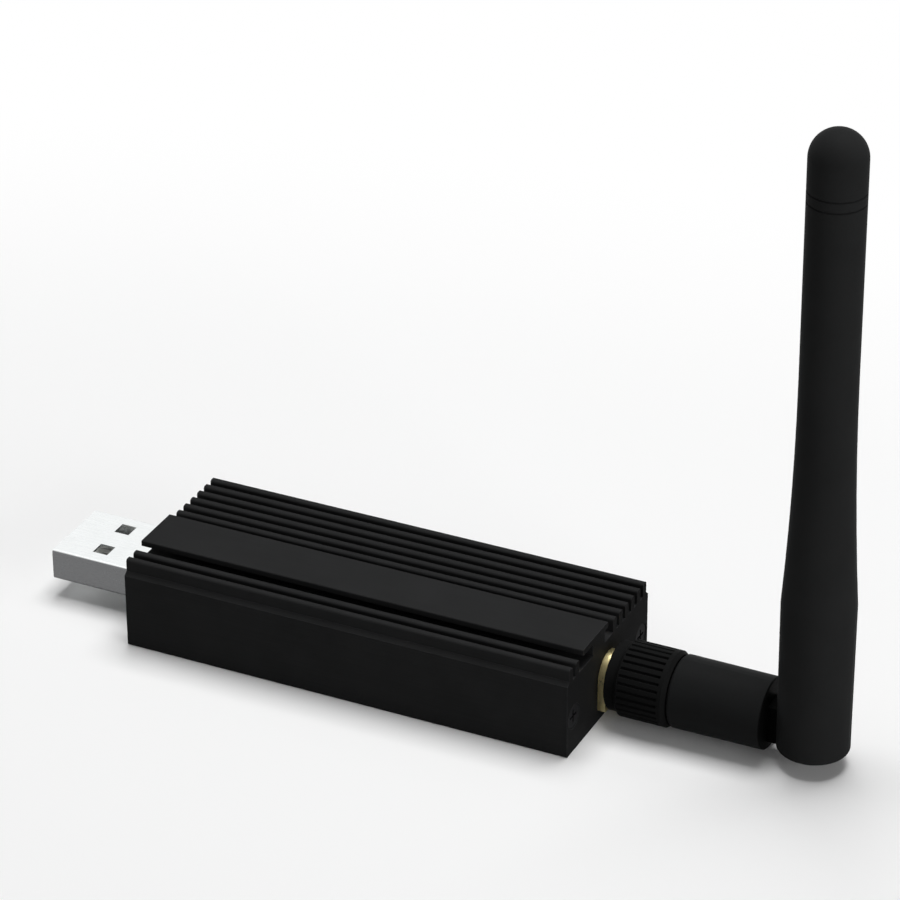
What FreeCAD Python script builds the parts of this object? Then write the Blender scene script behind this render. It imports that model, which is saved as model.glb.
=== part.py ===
"""USB radio stick with a hinged screw-on antenna, in millimetres.

+X points to the antenna, +Z is up and -Y is the side with the two near fins.
The origin is the centre of the housing's underside.
"""
import FreeCAD
import Part
import math
import os

# Housing extrusion: overall sizes and the steps of its top
HOUSING_LENGTH = 64.2
HOUSING_WIDTH = 25.5
HOUSING_HEIGHT = 13.5
BAR_STEP = 0.65
SLOT_DEPTH = 1.95
LEDGE_STEP = 0.25
LEDGE_INSET = 0.6
LEDGE_BEVEL = 0.5
EDGE_ROUND = 0.2

# Housing extrusion: fins and the raised bar
FIN_PITCH = 1.92
FIN_THICKNESS = 1.05
FIN_ROUND = 0.34
BAR_INSET = 4.75
BAR_WIDTH = 7.8
BAR_THICKNESS = 0.85
BAR_ROUND = 0.15
BAR_OVERHANG_NEAR = 3.1
BAR_OVERHANG_FAR = 1.0

# Housing extrusion: inside
SIDE_WALL = 1.6
FLOOR_WALL = 1.5
ROOF_WALL = 1.5
CAVITY_ROUND = 0.4
RAIL_DEPTH = 2.65
RAIL_BELOW_AXIS = 3.1
RAIL_ABOVE_AXIS = 2.3

# Clearances
FIT = 0.05
BOARD_FIT = 0.1
PLUG_CUTOUT_GAP = 0.15
SCREW_CLEARANCE = 0.12
NUT_BARREL_GAP = 0.15
NUT_LIP_GAP = 0.2

# End plates and their screws
PLATE_THICKNESS = 1.6
SCREW_INSET = 2.05
SCREW_BELOW_AXIS = 0.5
SCREW_HEAD_RADIUS = 1.65
SCREW_HEAD_DEPTH = 0.95
SCREW_SHANK_RADIUS = 0.83
SCREW_PORT_RADIUS = 0.85
SCREW_LENGTH = 6.0
SCREW_SINK = 0.1
RECESS_ARM = 0.95
RECESS_WIDTH = 0.36
RECESS_DEPTH = 0.55

# Circuit board
BOARD_THICKNESS = 1.6
BOARD_ROUND = 0.35
BOARD_HOLD = 0.6
BOARD_END_GAP = 0.2

# Parts on the board: (length, width, height)
BRIDGE_CHIP = (4.0, 4.0, 0.85)
CLOCK_CRYSTAL = (3.2, 1.5, 0.8)
RADIO_CHIP = (7.0, 7.0, 0.9)
RADIO_CRYSTAL = (2.0, 1.6, 0.5)
CAPACITOR = (1.6, 0.8, 0.8)
FILTER_PART = (0.5, 1.0, 0.4)
STATUS_LIGHT = (0.8, 1.6, 0.6)
SWITCH = (4.2, 3.2, 1.9)
PLUNGER_RADIUS = 0.85
PLUNGER_PROUD = 0.75
PLUNGER_TRAVEL = 0.25
PLUNGER_CHAMFER = 0.15
SWITCH_FLOOR = 0.5
CAN_LENGTH = 17.0
CAN_HEIGHT = 2.0
CAN_SHEET = 0.2
CAN_SLIT = 0.35
CAN_SLIT_TOP = 0.5
CAN_VENT_RADIUS = 0.45
CAN_VENT_PITCH_X = 6.0
CAN_VENT_PITCH_Y = 4.0
REGULATOR_BODY = (2.9, 1.6)
REGULATOR_LOW = 0.1
REGULATOR_HIGH = 1.1
REGULATOR_LEG_WIDTH = 0.4
REGULATOR_LEG_PITCH = 0.95
REGULATOR_KNEE = 0.3
REGULATOR_FOOT = 0.65
REGULATOR_KNEE_HEIGHT = 0.6
REGULATOR_FOOT_HEIGHT = 0.15

# Places on the board: from its front edge, from the can, and in from the rails
BRIDGE_PLACE = 8.3
BRIDGE_SIDE = 1.5
CRYSTAL_PLACE = 13.7
LIGHTS_PLACE = 15.7
LIGHTS_SPACING = 4.0
SWITCH_PLACE = 19.8
FRONT_CAPACITORS = ((4.7, 1.2), (11.7, 3.4))
CAN_CAPACITORS = ((5.0, 2.3), (2.3, 0.9))
CAN_SETBACK = 9.8
CAN_RAIL_ROOM = 1.7
SWITCH_RAIL_ROOM = 2.7
CRYSTAL_RAIL_ROOM = 2.5
REGULATOR_RAIL_ROOM = 3.1
FILTER_SETBACK = 8.3
FILTER_PITCH = 1.1
FILTER_COUNT = 4
RADIO_CHIP_PLACE = -2.0
RADIO_CRYSTAL_PLACE = 5.0
RADIO_CRYSTAL_SIDE = 3.0

# USB plug
PLUG_WIDTH = 12.0
PLUG_HEIGHT = 4.5
PLUG_REACH = 15.2
PLUG_BELOW_AXIS = 0.78
PLUG_SHEET = 0.3
PLUG_ROUND = 0.4
PLUG_TAIL = 3.6
WINDOW_SPACING = 5.84
WINDOW_FROM_MOUTH = 6.3
WINDOW_LENGTH = 2.2
WINDOW_WIDTH = 2.3
TONGUE_THICKNESS = 1.93
TONGUE_SETBACK = 0.6
TONGUE_SIDE_GAP = 0.3
TONGUE_ROUND = 0.2
INSULATOR_BLOCK = 1.9
CONTACT_WIDTH = 1.0
CONTACT_THICKNESS = 0.2
CONTACT_PLACES = (-3.5, -1.0, 1.0, 3.5)
CONTACT_SETBACK = 1.2
CONTACT_FOOT = 1.8
EAR_RAIL_GAP = 0.9
EAR_LENGTH = 2.0

# Coaxial jack on the antenna end
JACK_AXIS_HEIGHT = 5.7
JACK_THREAD_RADIUS = 3.0
JACK_SHOULDER_RIM = 0.2
JACK_SHOULDER_ROUND = 0.25
JACK_SHOULDER_PROUD = 1.05
JACK_SHOULDER_DROP = 4.1
JACK_SHOULDER_SINK = 0.2
JACK_REACH = 7.6
JACK_NECK_STEP = 0.3
JACK_NECK_LENGTH = 0.6
JACK_TIP_CHAMFER = 0.35
JACK_MOUTH_WALL = 0.68
JACK_MOUTH_DEPTH = 1.95
JACK_CORE_STEP = 0.27
JACK_PIN_RADIUS = 0.635
JACK_SOCKET_RADIUS = 0.48
JACK_SOCKET_DEPTH = 3.6
JACK_TAIL_RADIUS = 0.38
JACK_TAIL_LENGTH = 3.5
JACK_LEG = 1.05
JACK_LEG_LENGTH = 4.5
JACK_LEG_INSET = 0.6

# Antenna connector: places along it are measured from the end plate's face
THREAD_RUNOUT = 0.4
GASKET_GAP = 0.1
GASKET_THICKNESS = 0.5
SHOULDER_LENGTH = 1.3
CORE_SINK = 0.2
TAIL_RADIUS = 2.2
TAIL_LENGTH = 6.5
RING_PLACE = 0.55
RING_THICKNESS = 0.4
RING_BITE = 0.4
RING_STAND = 0.15
RING_GAP_DEGREES = 40
PIN_RADIUS = 0.45
PIN_REACH = 2.4
PIN_POINT = 0.5
CABLE_RADIUS = 0.9
CABLE_BORE = 1.0
CABLE_BEND_GAP = 1.25

# Coupling nut
NUT_SHOULDER_GAP = 0.25
INSERT_WALL = 0.95
GRIP_WALL = 1.1
NUT_FRONT_WALL = 0.65
NUT_REAR_WALL = 0.7
NUT_FRONT_COLLAR = 1.45
NUT_STEP = 0.4
NUT_EDGE = 0.2
NUT_REAR_COLLAR = 1.1
NUT_REAR_CHAMFER = 0.55
NUT_LIP = 0.35
KNURL_FRONT_GAP = 0.5
KNURL_COUNT = 32
KNURL_WIDTH = 0.44
KNURL_FLOOR = 0.12
KNURL_DEPTH = 0.32

# Swivel barrel and hinge
BARREL_LENGTH = 12.75
BARREL_RADIUS = 4.87
BARREL_END_RADIUS = 4.81
BARREL_START_CHAMFER = 0.3
BARREL_END_CHAMFER = 0.15
BARREL_BORE_ROOM = 0.3
SNAP_PLACE = 3.25
SNAP_THICKNESS = 0.5
SNAP_BITE = 0.25
SNAP_STAND = 0.5
SWING_GAP = 0.03
TONGUE_WIDTH = 3.5
TONGUE_RADIUS = 3.25
TONGUE_RISE = 1.9
TONGUE_ROOT = 1.5
TRUNNION_RADIUS = 1.3
TRUNNION_LENGTH = 1.5
CABLE_SLOT_PLACE = 1.7

# Whip: heights are measured up from the hinge axis
WHIP_BELOW_TONGUE = 0.1
WHIP_BASE_RADIUS = 4.75
WHIP_KNEE_RADIUS = 4.83
WHIP_KNEE_HEIGHT = 17.9
WHIP_TOP_RADIUS = 3.71
WHIP_TAPER_HEIGHT = 49.5
WHIP_TOP = 82.98
WHIP_BOTTOM_ROUND = 0.35
CAP_LENGTH = 9.33
CAP_GROOVE_PLACE = 1.4
GROOVE_DEPTH = 0.18
GROOVE_HALF_WIDTH = 0.14
FORK_GAP = 0.2
FORK_REACH_GAP = 0.25
FORK_CORNER_SHARE = 0.98
WHIP_WALL = 1.11
CAVITY_START = 21.0
SPIGOT_LENGTH = 4.0
SPIGOT_WALL = 1.1
SPIGOT_HOLLOW = 1.0
UPPER_CABLE_END = 50.0
RADIATOR_GAP = 0.3
RADIATOR_WALL = 0.3
RADIATOR_LENGTH = 26.0
WIRE_RADIUS = 0.42
WIRE_LENGTH = 19.0
SPACER_PLACE = 58.0
SPACER_LENGTH = 3.0

# Housing places worked out from the sizes above
SIDE = HOUSING_WIDTH / 2
END_FACE = HOUSING_LENGTH / 2
PLATE_FACE = END_FACE - PLATE_THICKNESS
AXIS_Z = JACK_AXIS_HEIGHT
FIN_TOP = HOUSING_HEIGHT - BAR_STEP
SLOT_FLOOR = FIN_TOP - SLOT_DEPTH
SLOT_WIDTH = FIN_PITCH - FIN_THICKNESS
LEDGE_HEIGHT = SLOT_FLOOR - LEDGE_STEP
FIN_EDGE = SIDE - LEDGE_INSET
BAR_NEAR = -SIDE + BAR_INSET
BAR_FAR = BAR_NEAR + BAR_WIDTH
FAR_FINS = 1 + int((FIN_EDGE - FIN_THICKNESS - SLOT_WIDTH - BAR_FAR) / FIN_PITCH)
NEAR_FINS = 1 + int((FIN_EDGE - FIN_THICKNESS - SLOT_WIDTH + BAR_NEAR) / FIN_PITCH)
CAVITY_SIDE = SIDE - SIDE_WALL
CAVITY_TOP = SLOT_FLOOR - ROOF_WALL
RAIL_FACE = CAVITY_SIDE - RAIL_DEPTH
SCREW_SPACING = HOUSING_WIDTH - 2 * SCREW_INSET

# Plug and board places
PLUG_MIDDLE = AXIS_Z - PLUG_BELOW_AXIS
PLUG_BOTTOM = PLUG_MIDDLE - PLUG_HEIGHT / 2
PLUG_TOP = PLUG_MIDDLE + PLUG_HEIGHT / 2
PLUG_MOUTH = -END_FACE - PLUG_REACH
PLUG_REAR = -END_FACE + PLUG_TAIL
BOARD_TOP = AXIS_Z - JACK_TAIL_RADIUS
BOARD_BOTTOM = BOARD_TOP - BOARD_THICKNESS
BOARD_FRONT = PLUG_REAR + BOARD_END_GAP
BOARD_SIDE = RAIL_FACE + BOARD_HOLD
JACK_BACK = PLATE_FACE - JACK_SHOULDER_SINK
CAN_WIDTH = 2 * (RAIL_FACE - CAN_RAIL_ROOM)
CAN_MIDDLE = JACK_BACK - CAN_SETBACK - CAN_LENGTH / 2
CAN_FRONT = CAN_MIDDLE - CAN_LENGTH / 2
SWITCH_X = BOARD_FRONT + SWITCH_PLACE
SWITCH_SIDE = RAIL_FACE - SWITCH_RAIL_ROOM

# Connector and nut places, from the end plate's face, and radii
JACK_SHOULDER = 2 * (JACK_THREAD_RADIUS + JACK_SHOULDER_RIM)
JACK_MOUTH_RADIUS = JACK_THREAD_RADIUS - JACK_MOUTH_WALL
JACK_CORE_RADIUS = JACK_MOUTH_RADIUS - JACK_CORE_STEP
CORE_PLANE = JACK_REACH - JACK_MOUTH_DEPTH
NOSE_START = CORE_PLANE + FIT
NOSE_RADIUS = JACK_MOUTH_RADIUS - FIT
THREAD_END = JACK_REACH + THREAD_RUNOUT
SHOULDER_START = JACK_REACH + GASKET_GAP + GASKET_THICKNESS
SHOULDER_END = SHOULDER_START + SHOULDER_LENGTH
SHOULDER_RADIUS = JACK_THREAD_RADIUS - FIT
CORE_END = SHOULDER_START + CORE_SINK
TAIL_END = SHOULDER_END + TAIL_LENGTH
RING_START = SHOULDER_START + RING_PLACE
RING_INNER = SHOULDER_RADIUS - RING_BITE
INSERT_BACK_RADIUS = SHOULDER_RADIUS + 2 * FIT
RING_OUTER = INSERT_BACK_RADIUS + RING_STAND
INSERT_RADIUS = JACK_THREAD_RADIUS + FIT + INSERT_WALL
INSERT_END = SHOULDER_END + 2 * FIT
NUT_START = JACK_SHOULDER_PROUD + NUT_SHOULDER_GAP
NUT_END = INSERT_END + NUT_LIP
NUT_RADIUS = INSERT_RADIUS + GRIP_WALL
KNURL_START = NUT_START + NUT_FRONT_COLLAR + KNURL_FRONT_GAP
KNURL_END = NUT_END - NUT_REAR_COLLAR
BARREL_START = NUT_END + NUT_BARREL_GAP
BARREL_END = BARREL_START + BARREL_LENGTH
SNAP_START = BARREL_START + SNAP_PLACE
SNAP_INNER = TAIL_RADIUS - SNAP_BITE
SNAP_OUTER = TAIL_RADIUS + SNAP_STAND

# Whip places: the hinge stands clear of the circle that the whip's foot swings through
WHIP_BOTTOM = TONGUE_RADIUS + WHIP_BELOW_TONGUE
WHIP_SWING = WHIP_BOTTOM_ROUND + math.hypot(WHIP_BASE_RADIUS - WHIP_BOTTOM_ROUND,
                                            WHIP_BOTTOM - WHIP_BOTTOM_ROUND)
HINGE_X = END_FACE + BARREL_END + WHIP_SWING + SWING_GAP
CAP_SEAM = WHIP_TOP - CAP_LENGTH
CAVITY_RADIUS = WHIP_TOP_RADIUS - WHIP_WALL
RADIATOR_RADIUS = CAVITY_RADIUS - RADIATOR_GAP


def vec(x, y, z):
    return FreeCAD.Vector(x, y, z)


def box(x0, x1, y0, y1, z0, z1):
    return Part.makeBox(x1 - x0, y1 - y0, z1 - z0, vec(x0, y0, z0))


def rod_x(radius, x0, x1, y=0.0, z=AXIS_Z):
    return Part.makeCylinder(radius, x1 - x0, vec(x0, y, z), vec(1, 0, 0))


def rod_y(radius, y0, y1, x, z):
    return Part.makeCylinder(radius, y1 - y0, vec(x, y0, z), vec(0, 1, 0))


def rod_z(radius, z0, z1, x=0.0, y=0.0):
    return Part.makeCylinder(radius, z1 - z0, vec(x, y, z0), vec(0, 0, 1))


def whip_rod(radius, low, high):
    """Cylinder on the whip's axis between two heights above the hinge."""
    return rod_z(radius, AXIS_Z + low, AXIS_Z + high, HINGE_X)


def outline(corners, place):
    """Closed wire through (a, b, radius) corners, each rounded by a tangent arc."""
    ends = []
    arcs = []
    count = len(corners)
    for index in range(count):
        a, b, radius = corners[index]
        here = vec(a, b, 0)
        before = vec(*corners[index - 1][:2], 0) - here
        after = vec(*corners[(index + 1) % count][:2], 0) - here
        before.normalize()
        after.normalize()
        if radius == 0:
            ends.append((here, here))
            arcs.append(None)
            continue
        half_angle = before.getAngle(after) / 2
        reach = radius / math.tan(half_angle)
        inward = before + after
        inward.normalize()
        nearest = here + inward * (radius / math.sin(half_angle) - radius)
        ends.append((here + before * reach, here + after * reach))
        arcs.append(nearest)
    edges = []
    for index in range(count):
        start, finish = ends[index]
        if arcs[index] is not None:
            edges.append(Part.Arc(place(start), place(arcs[index]), place(finish)).toShape())
        next_start = ends[(index + 1) % count][0]
        if finish.distanceToPoint(next_start) > 1e-6:
            edges.append(Part.LineSegment(place(finish), place(next_start)).toShape())
    return Part.Wire(edges)


def prism_x(corners, x0, x1):
    """Solid between x0 and x1 whose section has (y, z, radius) corners."""
    wire = outline(corners, lambda p: vec(x0, p.x, p.y))
    return Part.Face(wire).extrude(vec(x1 - x0, 0, 0))


def prism_y(corners, y0, y1):
    """Solid between y0 and y1 whose section has (x, z, radius) corners."""
    wire = outline(corners, lambda p: vec(p.x, y0, p.y))
    return Part.Face(wire).extrude(vec(0, y1 - y0, 0))


def prism_z(corners, z0, z1):
    """Solid between z0 and z1 whose plan has (x, y, radius) corners."""
    wire = outline(corners, lambda p: vec(p.x, p.y, z0))
    return Part.Face(wire).extrude(vec(0, 0, z1 - z0))


def turned_x(corners):
    """Solid of revolution about the jack's axis from (x past the end plate, radius, round)."""
    wire = outline(corners, lambda p: vec(END_FACE + p.x, 0, AXIS_Z + p.y))
    return Part.Face(wire).revolve(vec(0, 0, AXIS_Z), vec(1, 0, 0), 360)


def whip_place(point):
    """A point of the whip's half section, given as (radius, height), in the row's frame."""
    return vec(HINGE_X + point.x, 0, AXIS_Z + point.y)


def turned_whip(wire):
    """Solid of revolution about the whip's axis."""
    return Part.Face(wire).revolve(vec(HINGE_X, 0, 0), vec(0, 0, 1), 360)


def rectangle(a0, a1, b0, b1, radius=0.0):
    return [(a0, b0, radius), (a1, b0, radius), (a1, b1, radius), (a0, b1, radius)]


def fin_corners(right):
    """Corners of one fin, from its right foot over the rounded top to its left foot."""
    left = right - FIN_THICKNESS
    return [
        (right, SLOT_FLOOR, 0),
        (right, FIN_TOP, FIN_ROUND),
        (left, FIN_TOP, FIN_ROUND),
        (left, SLOT_FLOOR, 0),
    ]


def housing_section():
    """Outer section of the extrusion: ledges, fins, undercut slots and raised bar."""
    under_bar = HOUSING_HEIGHT - BAR_THICKNESS
    web_near = BAR_NEAR + BAR_OVERHANG_NEAR
    web_far = BAR_FAR - BAR_OVERHANG_FAR
    corners = [
        (-SIDE, 0, EDGE_ROUND),
        (SIDE, 0, EDGE_ROUND),
        (SIDE, LEDGE_HEIGHT, 0),
        (FIN_EDGE, LEDGE_HEIGHT + LEDGE_BEVEL, 0),
    ]
    for index in range(FAR_FINS):
        fin = fin_corners(FIN_EDGE - index * FIN_PITCH)
        corners += fin[1:] if index == 0 else fin
    corners += [
        (web_far, SLOT_FLOOR, 0),
        (web_far, under_bar, 0),
        (BAR_FAR, under_bar, BAR_ROUND),
        (BAR_FAR, HOUSING_HEIGHT, BAR_ROUND),
        (BAR_NEAR, HOUSING_HEIGHT, BAR_ROUND),
        (BAR_NEAR, under_bar, BAR_ROUND),
        (web_near, under_bar, 0),
        (web_near, SLOT_FLOOR, 0),
    ]
    for index in reversed(range(NEAR_FINS)):
        corners += fin_corners(-FIN_EDGE + index * FIN_PITCH + FIN_THICKNESS)
    corners[-1] = (-FIN_EDGE, LEDGE_HEIGHT + LEDGE_BEVEL, 0)
    corners.append((-SIDE, LEDGE_HEIGHT, 0))
    return corners


def shoulder_section(gap):
    """Outline of the jack's shoulder, half round above and square below, grown by a gap."""
    half = JACK_SHOULDER / 2 + gap
    low = AXIS_Z - JACK_SHOULDER_DROP - gap
    return [
        (-half, low, JACK_SHOULDER_ROUND),
        (half, low, JACK_SHOULDER_ROUND),
        (half, AXIS_Z + half, half),
        (-half, AXIS_Z + half, half),
    ]


def screw_places():
    height = AXIS_Z - SCREW_BELOW_AXIS
    return [(-SCREW_SPACING / 2, height), (SCREW_SPACING / 2, height)]


def make_housing():
    """Extruded tube: two inner rails carry the board in grooves and the screws in ports."""
    body = prism_x(housing_section(), -PLATE_FACE, PLATE_FACE)
    cavity = rectangle(-CAVITY_SIDE, CAVITY_SIDE, FLOOR_WALL, CAVITY_TOP, CAVITY_ROUND)
    body = body.cut(prism_x(cavity, -PLATE_FACE, PLATE_FACE))
    wall_middle = CAVITY_SIDE + SIDE_WALL / 2
    for side in (-1, 1):
        inner, outer = sorted((side * RAIL_FACE, side * wall_middle))
        rail = box(-PLATE_FACE, PLATE_FACE, inner, outer,
                   AXIS_Z - RAIL_BELOW_AXIS, AXIS_Z + RAIL_ABOVE_AXIS)
        inner, outer = sorted((0, side * (BOARD_SIDE + BOARD_FIT)))
        groove = box(-PLATE_FACE, PLATE_FACE, inner, outer,
                     BOARD_BOTTOM - BOARD_FIT, BOARD_TOP + BOARD_FIT)
        body = body.fuse(rail.cut(groove))
    for y, z in screw_places():
        body = body.cut(rod_x(SCREW_PORT_RADIUS, -PLATE_FACE, PLATE_FACE, y, z))
    seat = prism_x(shoulder_section(FIT), JACK_BACK - FIT, PLATE_FACE)
    return body.cut(seat).removeSplitter()


def countersunk_hole(face_x, direction, y, z):
    """Through hole of an end plate with the seat of a flat screw head."""
    seat_radius = SCREW_HEAD_RADIUS + SCREW_CLEARANCE
    hole_radius = SCREW_SHANK_RADIUS + SCREW_CLEARANCE
    inward = vec(-direction, 0, 0)
    sink = Part.makeCylinder(seat_radius, SCREW_SINK, vec(face_x, y, z), inward)
    seat_start = vec(face_x - direction * SCREW_SINK, y, z)
    cone = Part.makeCone(seat_radius, hole_radius, SCREW_HEAD_DEPTH, seat_start, inward)
    hole = Part.makeCylinder(hole_radius, PLATE_THICKNESS, vec(face_x, y, z), inward)
    return sink.fuse([cone, hole])


def make_end_plate(direction, cutout):
    """Plate of the same section as the extrusion; direction is -1 at the plug, 1 at the jack."""
    x0, x1 = sorted((direction * END_FACE, direction * PLATE_FACE))
    plate = prism_x(housing_section(), x0, x1).cut(prism_x(cutout, x0, x1))
    for y, z in screw_places():
        plate = plate.cut(countersunk_hole(direction * END_FACE, direction, y, z))
    return plate


def make_usb_end_plate():
    half = PLUG_WIDTH / 2 + PLUG_CUTOUT_GAP
    return make_end_plate(-1, rectangle(-half, half, PLUG_BOTTOM - PLUG_CUTOUT_GAP,
                                        PLUG_TOP + PLUG_CUTOUT_GAP, PLUG_ROUND + PLUG_CUTOUT_GAP))


def make_antenna_end_plate():
    return make_end_plate(1, shoulder_section(FIT))


def make_end_screw(direction, y, z):
    """Flat-head screw with a cross recess, its head just under the plate's face."""
    face = direction * (END_FACE - SCREW_SINK)
    inward = vec(-direction, 0, 0)
    head = Part.makeCone(SCREW_HEAD_RADIUS, SCREW_SHANK_RADIUS, SCREW_HEAD_DEPTH,
                         vec(face, y, z), inward)
    shank = Part.makeCylinder(SCREW_SHANK_RADIUS, SCREW_LENGTH, vec(face, y, z), inward)
    screw = head.fuse(shank)
    x0, x1 = sorted((face, face - direction * RECESS_DEPTH))
    for arm_y, arm_z in ((RECESS_ARM, RECESS_WIDTH / 2), (RECESS_WIDTH / 2, RECESS_ARM)):
        screw = screw.cut(box(x0, x1, y - arm_y, y + arm_y, z - arm_z, z + arm_z))
    return screw


def make_end_screws(direction):
    return Part.Compound([make_end_screw(direction, y, z) for y, z in screw_places()])


def make_circuit_board():
    """Board with a notch for the plug between two arms, and rounded corners."""
    notch = PLUG_WIDTH / 2 + BOARD_FIT
    arm_end = -PLATE_FACE + BOARD_END_GAP
    corners = [
        (arm_end, -BOARD_SIDE, BOARD_ROUND),
        (JACK_BACK, -BOARD_SIDE, BOARD_ROUND),
        (JACK_BACK, BOARD_SIDE, BOARD_ROUND),
        (arm_end, BOARD_SIDE, BOARD_ROUND),
        (arm_end, notch, BOARD_ROUND),
        (BOARD_FRONT, notch, BOARD_ROUND),
        (BOARD_FRONT, -notch, BOARD_ROUND),
        (arm_end, -notch, BOARD_ROUND),
    ]
    return prism_z(corners, BOARD_BOTTOM, BOARD_TOP)


def make_usb_shell():
    """Folded sheet shell with four latch windows and two soldered ears."""
    half = PLUG_WIDTH / 2
    outer = prism_x(rectangle(-half, half, PLUG_BOTTOM, PLUG_TOP, PLUG_ROUND), PLUG_MOUTH, PLUG_REAR)
    inner = rectangle(-half + PLUG_SHEET, half - PLUG_SHEET, PLUG_BOTTOM + PLUG_SHEET,
                      PLUG_TOP - PLUG_SHEET, PLUG_ROUND - PLUG_SHEET)
    shell = outer.cut(prism_x(inner, PLUG_MOUTH, PLUG_REAR))
    window_x = PLUG_MOUTH + WINDOW_FROM_MOUTH
    for side in (-1, 1):
        y = side * WINDOW_SPACING / 2
        shell = shell.cut(box(window_x - WINDOW_LENGTH / 2, window_x + WINDOW_LENGTH / 2,
                              y - WINDOW_WIDTH / 2, y + WINDOW_WIDTH / 2,
                              PLUG_BOTTOM - PLUG_SHEET, PLUG_TOP + PLUG_SHEET))
        inner_y, outer_y = sorted((side * (half - PLUG_SHEET), side * (RAIL_FACE - EAR_RAIL_GAP)))
        shell = shell.fuse(box(PLUG_REAR - EAR_LENGTH, PLUG_REAR, inner_y, outer_y,
                               BOARD_TOP, BOARD_TOP + PLUG_SHEET))
    return shell.removeSplitter()


def make_contact(y):
    """Spring contact: a strip along the tongue that steps up to a foot on the board."""
    low = PLUG_BOTTOM + PLUG_SHEET + TONGUE_THICKNESS - CONTACT_THICKNESS / 2
    tip = PLUG_MOUTH + TONGUE_SETBACK + CONTACT_SETBACK
    step = PLUG_REAR - CONTACT_THICKNESS
    foot = BOARD_FRONT + CONTACT_FOOT
    corners = [
        (tip, low, 0),
        (PLUG_REAR, low, 0),
        (PLUG_REAR, BOARD_TOP, 0),
        (foot, BOARD_TOP, 0),
        (foot, BOARD_TOP + CONTACT_THICKNESS, 0),
        (step, BOARD_TOP + CONTACT_THICKNESS, 0),
        (step, low + CONTACT_THICKNESS, 0),
        (tip, low + CONTACT_THICKNESS, 0),
    ]
    return prism_y(corners, y - CONTACT_WIDTH / 2, y + CONTACT_WIDTH / 2)


def make_usb_contacts():
    return Part.Compound([make_contact(y) for y in CONTACT_PLACES])


def make_usb_insulator():
    """Plastic block that fills the shell's tail, with the tongue that carries the contacts."""
    half = PLUG_WIDTH / 2 - PLUG_SHEET
    low = PLUG_BOTTOM + PLUG_SHEET
    block_end = PLUG_REAR - CONTACT_THICKNESS - BOARD_FIT
    block = prism_x(rectangle(-half, half, low, PLUG_TOP - PLUG_SHEET, PLUG_ROUND - PLUG_SHEET),
                    block_end - INSULATOR_BLOCK, block_end)
    side = half - TONGUE_SIDE_GAP
    tongue = prism_x(rectangle(-side, side, low, low + TONGUE_THICKNESS, TONGUE_ROUND),
                     PLUG_MOUTH + TONGUE_SETBACK, block_end)
    body = block.fuse(tongue)
    for y in CONTACT_PLACES:
        body = body.cut(make_contact(y))
    return body


def on_board(size, x, y):
    """Block of (length, width, height) that stands on the board with its middle at x, y."""
    length, width, height = size
    return box(x - length / 2, x + length / 2, y - width / 2, y + width / 2,
               BOARD_TOP, BOARD_TOP + height)


def make_shield_can():
    """Pressed lid over the radio circuit, open below, with slit corners and vent holes."""
    outer = on_board((CAN_LENGTH, CAN_WIDTH, CAN_HEIGHT), CAN_MIDDLE, 0)
    inner = on_board((CAN_LENGTH - 2 * CAN_SHEET, CAN_WIDTH - 2 * CAN_SHEET, CAN_HEIGHT - CAN_SHEET),
                     CAN_MIDDLE, 0)
    can = outer.cut(inner)
    top = BOARD_TOP + CAN_HEIGHT
    for side_x in (-1, 1):
        for side_y in (-1, 1):
            x = CAN_MIDDLE + side_x * CAN_LENGTH / 2
            y = side_y * CAN_WIDTH / 2
            can = can.cut(box(x - CAN_SLIT, x + CAN_SLIT, y - CAN_SLIT, y + CAN_SLIT,
                              BOARD_TOP, top - CAN_SLIT_TOP))
            vent_x = CAN_MIDDLE + side_x * CAN_VENT_PITCH_X / 2
            vent_y = side_y * CAN_VENT_PITCH_Y / 2
            can = can.cut(rod_z(CAN_VENT_RADIUS, top - 2 * CAN_SHEET, top, vent_x, vent_y))
    return can


def make_switch_body(side):
    """Push switch with a round well for its button; side is -1 or 1."""
    body = on_board(SWITCH, SWITCH_X, side * SWITCH_SIDE)
    well = rod_z(PLUNGER_RADIUS + FIT, BOARD_TOP + SWITCH_FLOOR, BOARD_TOP + SWITCH[2],
                 SWITCH_X, side * SWITCH_SIDE)
    return body.cut(well)


def make_plunger(side):
    """Round button that stands one travel and a small gap above its well's floor."""
    y = side * SWITCH_SIDE
    low = BOARD_TOP + SWITCH_FLOOR + PLUNGER_TRAVEL + FIT
    high = BOARD_TOP + SWITCH[2] + PLUNGER_PROUD
    stem = rod_z(PLUNGER_RADIUS, low, high - PLUNGER_CHAMFER, SWITCH_X, y)
    crown = Part.makeCone(PLUNGER_RADIUS, PLUNGER_RADIUS - PLUNGER_CHAMFER, PLUNGER_CHAMFER,
                          vec(SWITCH_X, y, high - PLUNGER_CHAMFER), vec(0, 0, 1))
    return stem.fuse(crown)


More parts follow.
